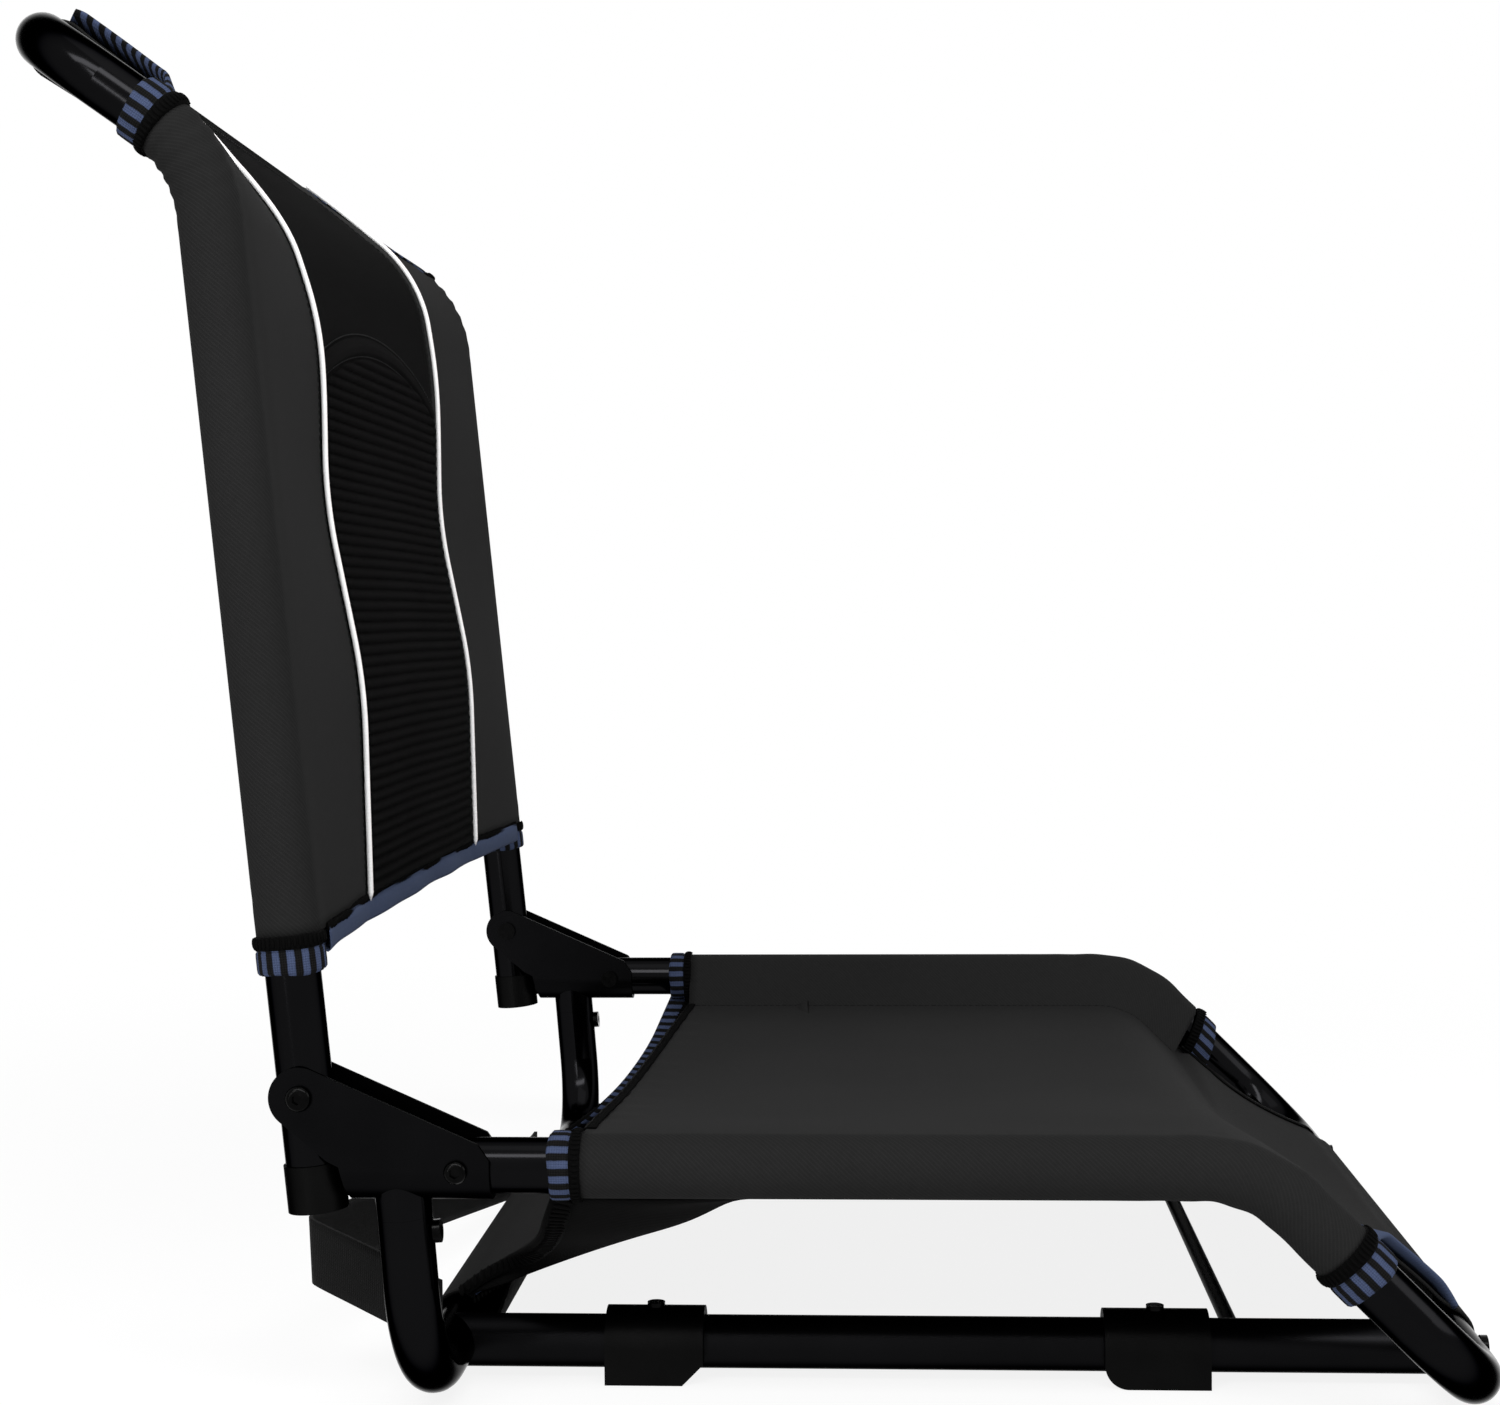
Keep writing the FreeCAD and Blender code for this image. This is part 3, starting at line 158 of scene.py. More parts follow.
class Value:
    # one socket of a material; arithmetic on it adds Math nodes
    def __init__(self, finish, socket):
        self.finish = finish
        self.socket = socket

    def math(self, operation, first, second=0.0):
        return self.finish.node("ShaderNodeMath", {"operation": operation}, {0: first, 1: second})

    def __add__(self, other):
        return self.math("ADD", self, other)

    def __radd__(self, other):
        return self.math("ADD", other, self)

    def __sub__(self, other):
        return self.math("SUBTRACT", self, other)

    def __rsub__(self, other):
        return self.math("SUBTRACT", other, self)

    def __mul__(self, other):
        return self.math("MULTIPLY", self, other)

    def __rmul__(self, other):
        return self.math("MULTIPLY", other, self)

    def __truediv__(self, other):
        return self.math("DIVIDE", self, other)

    def __abs__(self):
        return self.math("ABSOLUTE", self)

    def sine(self):
        return self.math("SINE", self)

    def fraction(self):
        return self.math("FRACT", self)

    def larger(self, other):
        return self.math("MAXIMUM", self, other)


class Finish:
    # one material (or the world) and the nodes in it
    def __init__(self, name, world=False):
        self.data = (bpy.data.worlds if world else bpy.data.materials).new(name)
        self.data.use_nodes = True
        self.nodes = self.data.node_tree.nodes
        self.links = self.data.node_tree.links
        self.nodes.clear()
        self.end = self.nodes.new("ShaderNodeOutputWorld" if world else "ShaderNodeOutputMaterial")

    def node(self, kind, settings=None, sockets=None, out=0):
        made = self.nodes.new(kind)
        for key, value in (settings or {}).items():
            setattr(made, key, value)
        for key, value in (sockets or {}).items():
            if isinstance(value, Value):
                self.links.new(value.socket, made.inputs[key])
            else:
                made.inputs[key].default_value = value
        return Value(self, made.outputs[out])

    def close(self, shader):
        self.links.new(shader.socket, self.end.inputs["Surface"])
        return self.data

    def surface(self, sockets):
        return self.close(self.node("ShaderNodeBsdfPrincipled", None, sockets))

    def spots(self, scale, detail=3.0, where=None, roughness=0.5):
        where = where or self.node("ShaderNodeTexCoord", out=3)
        return self.node("ShaderNodeTexNoise", None,
                         {"Vector": where, "Scale": scale, "Detail": detail, "Roughness": roughness})

    def blend(self, share, first, second):
        return self.node("ShaderNodeMix", {"data_type": "RGBA"}, {0: share, 6: first, 7: second}, out=2)

    def bump(self, height, distance, strength=1.0):
        return self.node("ShaderNodeBump", None, {"Strength": strength, "Distance": distance, "Height": height})

    def backdrop(self):
        # 1 where the camera, a reflection or a see-through piece looks at it
        path = self.node("ShaderNodeLightPath").socket.node.outputs
        rays = [Value(self, path[name]) for name in ("Is Camera Ray", "Is Glossy Ray", "Is Transmission Ray")]
        return rays[0].larger(rays[1]).larger(rays[2])

    def cloth(self):
        # distances over the cloth in millimetres: across and along
        uv = self.node("ShaderNodeUVMap", {"uv_map": "cloth"})
        across = self.node("ShaderNodeSeparateXYZ", None, {0: uv}, out=0)
        along = self.node("ShaderNodeSeparateXYZ", None, {0: uv}, out=1)
        return uv, across * 100.0, along * 100.0


def grey(level, blue=1.0):
    return (level, level, level * blue, 1.0)


# painted steel: near-black satin, a little uneven
def paintFinish(name, look):
    paint = Finish(name)
    cloud = paint.spots(look["cloudScale"], 4.0)
    peel = paint.spots(look["peelScale"], 2.0)
    return paint.surface({
        "Base Color": paint.blend(cloud, grey(look["dark"], 1.08), grey(look["light"], 1.08)),
        "Metallic": 1.0,
        "Specular Tint": (0.35, 0.35, 0.35, 1.0),
        "Roughness": look["rough"] + look["roughSpread"] * (cloud - 0.5),
        "Normal": paint.bump(peel, look["peelDepth"]),
    })


framePaint = paintFinish("framePaint", {
    "cloudScale": 26.0, "peelScale": 900.0, "peelDepth": 0.000005, "dark": 0.0048, "light": 0.0066,
    "rough": 0.15, "roughSpread": 0.02})
railPaint = paintFinish("railPaint", {
    "cloudScale": 26.0, "peelScale": 900.0, "peelDepth": 0.00001, "dark": 0.0044, "light": 0.0066,
    "rough": 0.36, "roughSpread": 0.05})
bracketPaint = paintFinish("bracketPaint", {
    "cloudScale": 40.0, "peelScale": 1400.0, "peelDepth": 0.00001, "dark": 0.0034, "light": 0.0052,
    "rough": 0.30, "roughSpread": 0.05})


# blackened screws: dark metal with fine turning marks
def fastenerFinish(name, look):
    steel = Finish(name)
    cloud = steel.spots(look["cloudScale"], 3.0)
    return steel.surface({
        "Base Color": steel.blend(cloud, grey(look["dark"]), grey(look["light"])),
        "Metallic": 1.0,
        "Roughness": look["rough"] + 0.2 * (cloud - 0.5),
        "Normal": steel.bump(steel.spots(2600.0, 2.0), 0.00002),
    })


fastenerBlack = fastenerFinish("fastenerBlack", {"cloudScale": 300.0, "dark": 0.0022, "light": 0.0060, "rough": 0.20})


# moulded plastic with a fine spark-eroded grain
def plasticFinish(name, look):
    plastic = Finish(name)
    cloud = plastic.spots(look["cloudScale"], 3.0)
    grain = plastic.spots(look["grainScale"], 4.0, roughness=0.7)
    return plastic.surface({
        "Base Color": plastic.blend(cloud, grey(look["dark"]), grey(look["light"])),
        "Metallic": 1.0,
        "Specular Tint": (0.35, 0.35, 0.35, 1.0),
        "Roughness": look["rough"] + 0.10 * (grain - 0.5),
        "Normal": plastic.bump(grain, look["grainDepth"]),
    })


plasticBlack = plasticFinish("plasticBlack", {
    "cloudScale": 60.0, "grainScale": 2200.0, "grainDepth": 0.00005, "dark": 0.0038, "light": 0.0062,
    "rough": 0.42})


# woven cloth: diagonal ribs of thread over a plain weave, with soft uneven shade
def clothFinish(name, look):
    cloth = Finish(name)
    uv, across, along = cloth.cloth()
    twill = ((across + along) * (turn / look["twill"])).sine()
    warp = (across * (turn / look["thread"])).sine()
    weft = (along * (turn / look["thread"])).sine()
    weave = 0.5 + 0.22 * twill + 0.16 * warp * weft
    slub = cloth.spots(look["slubScale"], 3.0, uv)
    cloud = cloth.spots(look["cloudScale"], 4.0)
    shade = 0.55 * weave + 0.25 * slub + 0.30 * cloud
    # on the lumbar pad, painted shade darkens the grooves between the sewn ribs, in step with their pitch
    if "rib" in look:
        shade = shade * (0.12 + 1.1 * abs((along * (math.pi / look["rib"])).sine()))
    return cloth.surface({
        "Base Color": cloth.blend(shade, look["dark"], look["light"]),
        "Roughness": look["rough"] - 0.12 * (weave - 0.5),
        "Specular IOR Level": look["specular"],
        "Sheen Weight": look["sheen"],
        "Sheen Roughness": 0.45,
        "Normal": cloth.bump(0.7 * weave + 0.3 * slub, look["depth"], 0.8),
    })


sideCloth = clothFinish("sideCloth", {
    "twill": 1.9, "thread": 0.95, "slubScale": 34.0, "cloudScale": 14.0, "dark": grey(0.0063), "light": grey(0.0154),
    "rough": 0.86, "specular": 0.02, "sheen": 0.004, "depth": 0.00022})
middleCloth = clothFinish("middleCloth", {
    "twill": 1.1, "thread": 0.8, "slubScale": 30.0, "cloudScale": 18.0, "dark": grey(0.0014), "light": grey(0.0046),
    "rough": 0.90, "specular": 0.006, "sheen": 0.001, "depth": 0.00016})
# the lumbar pad's cloth, with painted shade in the grooves between its ribs
padCloth = clothFinish("padCloth", {
    "twill": 1.3, "thread": 0.9, "slubScale": 26.0, "cloudScale": 20.0, "dark": grey(0.0004), "light": grey(0.0052),
    "rough": 0.85, "specular": 0.004, "sheen": 0.0003, "depth": 0.00018, "rib": 4.6})
# painted shade: a darker copy of the side cloth, meant for the under face and side walls of the pocket sheet, which
# hang in the seat's shadow
flapPaintedShade = clothFinish("flapPaintedShade", {
    "twill": 1.9, "thread": 0.95, "slubScale": 34.0, "cloudScale": 14.0, "dark": grey(0.0016), "light": grey(0.0050),
    "rough": 0.85, "specular": 0.008, "sheen": 0.001, "depth": 0.0002})
blueCloth = clothFinish("blueCloth", {
    "twill": 1.5, "thread": 1.0, "slubScale": 30.0, "cloudScale": 25.0,
    "dark": (0.022, 0.030, 0.055, 1.0), "light": (0.048, 0.064, 0.115, 1.0),
    "rough": 0.84, "specular": 0.03, "sheen": 0.004, "depth": 0.0002})
overlockBlack = clothFinish("overlockBlack", {
    "twill": 0.8, "thread": 0.6, "slubScale": 40.0, "cloudScale": 30.0, "dark": grey(0.0005), "light": grey(0.0026),
    "rough": 0.80, "specular": 0.015, "sheen": 0.001, "depth": 0.00012})


# striped edge tape: slate blue and black bars across the tape
def stripeFinish(name, look):
    tape = Finish(name)
    uv, across, along = tape.cloth()
    slub = tape.spots(look["slubScale"], 3.0, uv)
    bar = abs(((across + look["skew"] * along) / look["pitch"] + 0.10 * (slub - 0.5)).fraction() - 0.5)
    blue = tape.node("ShaderNodeMapRange", {"interpolation_type": "SMOOTHSTEP"},
                     {0: bar, 1: look["edge"] - 0.05, 2: look["edge"] + 0.05, 3: 1.0, 4: 0.0})
    knit = ((along * (turn / look["knit"])).sine() + (across * (turn / look["knit"])).sine()) * 0.25 + 0.5
    tone = tape.blend(0.6 * knit + 0.5 * slub, look["blueDark"], look["blueLight"])
    black = tape.blend(0.6 * knit + 0.5 * slub, grey(0.0015), grey(0.0065))
    return tape.surface({
        "Base Color": tape.blend(blue, black, tone),
        "Roughness": 0.86 - 0.1 * (knit - 0.5),
        "Specular IOR Level": 0.03,
        "Sheen Weight": 0.004,
        "Normal": tape.bump(0.6 * knit + 0.8 * blue, 0.0003),
    })


stripeLook = {"pitch": turn * 12.3 / 14, "edge": 0.25, "skew": 0.0, "knit": 0.9, "slubScale": 26.0,
              "blueDark": (0.023, 0.031, 0.060, 1.0), "blueLight": (0.046, 0.061, 0.115, 1.0)}
stripeTape = stripeFinish("stripeTape", stripeLook)
headTape = stripeFinish("headTape", dict(stripeLook, skew=0.8))


# vinyl piping: white, faintly ridged, with a warm edge where it turns into the seam
def pipingFinish(name, look):
    vinyl = Finish(name)
    uv, across, along = vinyl.cloth()
    grime = vinyl.spots(look["grimeScale"], 4.0)
    rim = vinyl.node("ShaderNodeMapRange", None, {0: abs((across / look["girth"]).fraction() - 0.5), 1: 0.10, 2: 0.30})
    body = vinyl.blend(0.5 * grime, grey(look["white"]), grey(look["worn"]))
    return vinyl.surface({
        "Base Color": vinyl.blend(0.55 * rim, body, look["pink"]),
        "Roughness": 0.36 + 0.2 * (grime - 0.5),
        "Specular IOR Level": 0.35,
        "Normal": vinyl.bump((along * (turn / look["ridge"])).sine(), 0.00003),
    })


pipingWhite = pipingFinish("pipingWhite", {
    "grimeScale": 160.0, "girth": 7.6, "ridge": 1.3, "white": 0.86, "worn": 0.70, "pink": (0.62, 0.50, 0.49, 1.0)})


# strap webbing: heavy ribs along the strap, fine ones across
def webbingFinish(name, look):
    web = Finish(name)
    uv, across, along = web.cloth()
    ribs = (across * (turn / look["rib"])).sine()
    picks = (along * (turn / look["pick"]) + 1.6 * ribs).sine()
    slub = web.spots(30.0, 3.0, uv)
    lift = 0.5 + 0.28 * ribs * picks + 0.3 * (slub - 0.5)
    return web.surface({
        "Base Color": web.blend(lift, grey(look["dark"]), grey(look["light"])),
        "Roughness": 0.7 - 0.15 * (lift - 0.5),
        "Specular IOR Level": 0.05,
        "Sheen Weight": 0.003,
        "Normal": web.bump(lift, 0.0003),
    })


webbing = webbingFinish("webbing", {"rib": 2.1, "pick": 1.1, "dark": 0.0020, "light": 0.0068})


# sewing thread: a twisted yarn
def threadFinish(name, look):
    yarn = Finish(name)
    twist = yarn.spots(look["twistScale"], 2.0)
    return yarn.surface({
        "Base Color": yarn.blend(twist, grey(look["dark"]), grey(look["light"])),
        "Roughness": 0.6 + 0.2 * (twist - 0.5),
        "Specular IOR Level": 0.06,
        "Normal": yarn.bump(twist, 0.00005),
    })


darkThread = threadFinish("darkThread", {"twistScale": 1500.0, "dark": 0.0015, "light": 0.0060})
print("finishes written")


# building meshes from grids of points

def addObject(name, data):
    made = bpy.data.objects.new(name, data)
    bpy.context.scene.collection.objects.link(made)
    return made


def finalMesh(holder):
    # the mesh that an object's modifiers or curve make; the object itself is taken away
    graph = bpy.context.evaluated_depsgraph_get()
    mesh = bpy.data.meshes.new_from_object(holder.evaluated_get(graph), depsgraph=graph)
    bpy.data.objects.remove(holder)
    return mesh


def addPiece(name, points, faces, marks, outward, finishes, faceFinish=None):
    # points in millimetres, marks are distances over the cloth for each face corner
    mesh = bpy.data.meshes.new(name)
    mesh.from_pydata((np.asarray(points) * mm).tolist(), [], faces)
    layer = mesh.uv_layers.new(name="cloth")
    corners = np.concatenate([np.asarray(marks)[list(face)] for face in faces]) * 0.01
    layer.data.foreach_set("uv", corners.astype(np.float32).ravel())
    if faceFinish is not None:
        mesh.polygons.foreach_set("material_index", np.asarray(faceFinish, np.int32))
    for finish in finishes:
        mesh.materials.append(finish)
    bm = bmesh.new()
    bm.from_mesh(mesh)
    bmesh.ops.remove_doubles(bm, verts=bm.verts, dist=1e-6)
    bmesh.ops.recalc_face_normals(bm, faces=bm.faces)
    lean = sum((face.normal * face.calc_area() for face in bm.faces), Vector())
    if outward is not None and lean.dot(Vector(outward)) < 0:
        bmesh.ops.reverse_faces(bm, faces=bm.faces)
    for face in bm.faces:
        face.smooth = True
    bm.to_mesh(mesh)
    bm.free()
    return addObject(name, mesh)


def gridFaces(rows, columns, first=0, ring=False):
    faces = []
    for row in range(rows - 1):
        for column in range(columns if ring else columns - 1):
            after = (column + 1) % columns
            low = first + row * columns
            faces.append((low + column, low + after, low + columns + after, low + columns + column))
    return faces


def spread(grid):
    # distances along a row and down the rows of a grid, from its middle column
    stepAcross = np.linalg.norm(np.diff(grid, axis=1), axis=2).mean(0)
    across = np.concatenate([[0], np.cumsum(stepAcross)])
    across = across - across[len(across) // 2]
    stepAlong = np.linalg.norm(np.diff(grid, axis=0), axis=2).mean(1)
    along = np.concatenate([[0], np.cumsum(stepAlong)])
    return joined(across[None, :], along[:, None])


def gridPiece(name, grids, outward, finishes, faceFinish=None, ring=False, marks=None):
    # one piece from one or more grids whose shared rows are merged
    points, faces, places = [], [], []
    for number, grid in enumerate(grids):
        faces += gridFaces(grid.shape[0], grid.shape[1], len(points), ring)
        mark = spread(grid) if marks is None else marks[number]
        points += list(grid.reshape(-1, 3))
        places += list(mark.reshape(-1, 2))
    return addPiece(name, np.array(points), faces, np.array(places), outward, finishes, faceFinish)


def thicken(piece, thick, offset=-1.0):
    wall = piece.modifiers.new("thickness", "SOLIDIFY")
    wall.thickness = thick * mm
    wall.offset = offset
    wall.use_even_offset = False
    return piece


def settle(piece, body, slot, *nodes):
    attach(piece, body)
    if nodes:
        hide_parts(*nodes)


# geometry nodes: rows of beads that follow a line, for stitches and overlocked edges

def geoNode(tree, kind, settings=None, sockets=None):
    made = tree.nodes.new(kind)
    for key, value in (settings or {}).items():
        setattr(made, key, value)
    for key, value in (sockets or {}).items():
        if isinstance(value, bpy.types.NodeSocket):
            tree.links.new(value, made.inputs[key])
        else:
            made.inputs[key].default_value = value
    return made


def geoTree(name, inputs):
    tree = bpy.data.node_groups.new(name, "GeometryNodeTree")
    tree.interface.new_socket("Geometry", in_out="INPUT", socket_type="NodeSocketGeometry")
    for label, kind in inputs:
        tree.interface.new_socket(label, in_out="INPUT", socket_type=kind)
    tree.interface.new_socket("Geometry", in_out="OUTPUT", socket_type="NodeSocketGeometry")
    return tree, tree.nodes.new("NodeGroupInput").outputs, tree.nodes.new("NodeGroupOutput").inputs


def closeTree(tree, given, result, shape):
    real = geoNode(tree, "GeometryNodeRealizeInstances", None, {0: shape.outputs[0]})
    soft = geoNode(tree, "GeometryNodeSetShadeSmooth", None, {0: real.outputs[0]})
    done = geoNode(tree, "GeometryNodeSetMaterial", None, {0: soft.outputs[0], "Material": given["Finish"]})
    tree.links.new(done.outputs[0], result[0])
    return tree


def beadTree():
    tree, given, result = geoTree("beadRow", [
        ("Pitch", "NodeSocketFloat"), ("Along", "NodeSocketFloat"), ("Across", "NodeSocketFloat"),
        ("Height", "NodeSocketFloat"), ("Uneven", "NodeSocketFloat"), ("Seed", "NodeSocketInt"),
        ("Finish", "NodeSocketMaterial")])
    line = geoNode(tree, "GeometryNodeMeshToCurve", None, {"Mesh": given["Geometry"]})
    dots = geoNode(tree, "GeometryNodeResampleCurve", {"mode": "LENGTH"},
                   {"Curve": line.outputs[0], "Length": given["Pitch"]})
    outward = geoNode(tree, "GeometryNodeInputNamedAttribute", {"data_type": "FLOAT_VECTOR"}, {"Name": "outward"})
    heading = geoNode(tree, "GeometryNodeInputTangent")
    aim = geoNode(tree, "FunctionNodeAxesToRotation", {"primary_axis": "X", "secondary_axis": "Z"},
                  {0: heading.outputs[0], 1: outward.outputs["Attribute"]})
    bead = geoNode(tree, "GeometryNodeMeshUVSphere", None, {"Segments": 8, "Rings": 5, "Radius": 0.5})
    chance = geoNode(tree, "FunctionNodeRandomValue", {"data_type": "FLOAT"},
                     {"Min": 1.0, "Max": 1.0, "Seed": given["Seed"]})
    fewer = geoNode(tree, "ShaderNodeMath", {"operation": "SUBTRACT"}, {0: 1.0, 1: given["Uneven"]})
    tree.links.new(fewer.outputs[0], [s for s in chance.inputs if s.name == "Min" and s.type == "VALUE"][0])
    chanceOut = [s for s in chance.outputs if s.type == "VALUE"][0]
    across = geoNode(tree, "ShaderNodeMath", {"operation": "MULTIPLY"}, {0: given["Across"], 1: chanceOut})
    shape = geoNode(tree, "ShaderNodeCombineXYZ", None,
                    {0: given["Along"], 1: across.outputs[0], 2: given["Height"]})
    copies = geoNode(tree, "GeometryNodeInstanceOnPoints", None, {
        "Points": dots.outputs[0], "Instance": bead.outputs[0], "Rotation": aim.outputs[0], "Scale": shape.outputs[0]})
    return closeTree(tree, given, result, copies)


beadRow = beadTree()


def runTree(name, carrier, tree, values):
    # sets the inputs by their identifiers, then keeps the result as a plain mesh
    modifier = carrier.modifiers.new("build", "NODES")
    modifier.node_group = tree
    for item in tree.interface.items_tree:
        if item.in_out == "INPUT" and item.name in values:
            modifier[item.identifier] = values[item.name]
    carrier.update_tag()
    mesh = finalMesh(carrier)
    mesh.name = name
    return addObject(name, mesh)


def lineCarrier(lines):
    # lines are (points, outward directions) in millimetres
    points, edges, outs = [], [], []
    for line, out in lines:
        first = len(points)
        points += (np.asarray(line) * mm).tolist()
        outs += np.asarray(out, float).tolist()
        edges += [(first + n, first + n + 1) for n in range(len(line) - 1)]
    mesh = bpy.data.meshes.new("rowCarrier")
    mesh.from_pydata(points, edges, [])
    layer = mesh.attributes.new("outward", "FLOAT_VECTOR", "POINT")
    layer.data.foreach_set("vector", np.asarray(outs, np.float32).ravel())
    return addObject("rowCarrier", mesh)


def beads(name, lines, look, body, slot):
    piece = runTree(name, lineCarrier(lines), beadRow, {
        "Pitch": look["pitch"] * mm, "Along": look["along"] * mm, "Across": look["across"] * mm,
        "Height": look["height"] * mm, "Uneven": look.get("uneven", 0.0), "Seed": look.get("seed", 3),
        "Finish": look["finish"]})
    settle(piece, body, slot)


def lineOn(surface, x, s, rise):
    # a line over one of the paths, with its outward directions
    low, high = surface(x, s, rise), surface(x, s, np.asarray(rise) + 1.0)
    return low, high - low


stitchLook = {"pitch": 3.3, "along": 2.5, "across": 0.55, "height": 0.5, "finish": darkThread}
overlockLook = {"pitch": 1.9, "along": 1.35, "across": 4.6, "height": 1.3, "uneven": 0.25, "finish": overlockBlack}


# seat cloth: one sheet from the scooped rear edge over the rails, round the bend and down to the front bar
seatLook = {
    "rear": 99.3, "scoop": -4.5, "scoopHalf": 227.3, "stopRun": 41.7, "seam": 210.0, "thick": 1.2,
    "nearEdge": 238.8, "farEdge": 222.5, "farShift": 9.0, "farSkew": 6.0, "farLift": 5.0,
    "shoulderHalf": 210.2, "shoulderRun": 44, "shoulderLength": 13, "cornerFrom": 57, "cornerTo": 108,
    "panelRun": 42, "panelLength": 61, "panelReach": 228, "panelEnd": 9.6, "panelCurve": 1.7,
    "nearWrap": (306, 84), "farWrap": (246, 488), "farSeam": (219.0, -15.2), "sleeveFrom": 228, "scoopFade": 230,
    "bend": 338, "bendSpread": 30, "hemWrap": (-28, 205), "hemTurn": [107.0, 101.0], "hemTurnRise": [-4.0, 7.6],
    "hemHalf": 156.0, "cornerX": 218.7, "cornerRun": 116.4, "corner": 60.0, "wrinkle": 0.28, "slack": 0.55,
    "hang": [(-240, 11.6), (-226, 10.3), (-180, 5.6), (-120, -0.8), (-60, -6.2), (0, -9.8), (60, -11.9),
             (120, -13.2), (190, -13.5), (223, -13.4)],
}
seatHang = np.polyfit(*zip(*seatLook["hang"]), 5)


def seatRise(x):
    # comes off the top of the near rail and meets the far sleeve low on its inner side
    return np.polyval(seatHang, np.clip(x, -tubes["railX"], seatLook["farEdge"]))


def rearEdge(x):
    hollow = 1 - (np.asarray(x) / seatLook["scoopHalf"]) ** 2
    return seatLook["rear"] + seatLook["scoop"] * np.maximum(hollow, 0)


def frontEdge(run, side=-1):
    # half width of the front panel at each place down the slope
    look = seatLook
    run = run - look["farShift"] * (side > 0)
    arc = look["cornerX"] - np.sqrt(np.maximum(look["corner"] ** 2 - (run - look["cornerRun"]) ** 2, 0))
    narrowed = ease((run - look["shoulderRun"]) / look["shoulderLength"])
    shoulder = look["scoopHalf"] - (look["scoopHalf"] - look["shoulderHalf"]) * narrowed
    return np.where(run < look["cornerFrom"], shoulder, np.where(run > look["cornerTo"], look["hemHalf"] + 3, arc))


def frontRise(x, run):
    # from the seat's own hang at the rings up to the top of the front bar
    look = seatLook
    share = np.clip((run - look["panelRun"]) / look["panelLength"], 0, 1)
    half = look["scoopHalf"] + (look["hemHalf"] - look["scoopHalf"]) * share
    begin = seatRise(np.clip(x / half, -1, 1) * look["panelReach"])
    begin = begin + look["farLift"] * ease(x / half) * ease(share / 0.12)
    return begin + (look["panelEnd"] - begin) * share ** look["panelCurve"]


def sleeveSection(centre, seam, seamRise, wrapFrom, wrapTo, radius, steps):
    # from the seam under the cloth, round the outside of the tube, to its top
    angles = np.radians(np.linspace(wrapFrom, wrapTo, steps))
    wrapX = centre + radius * np.cos(angles)
    wrapRise = radius * np.sin(angles)
    underX = np.linspace(seam, wrapX[0], 6)[:-1]
    underRise = np.linspace(seamRise, wrapRise[0], 6)[:-1]
    return np.concatenate([underX, wrapX]), np.concatenate([underRise, wrapRise])


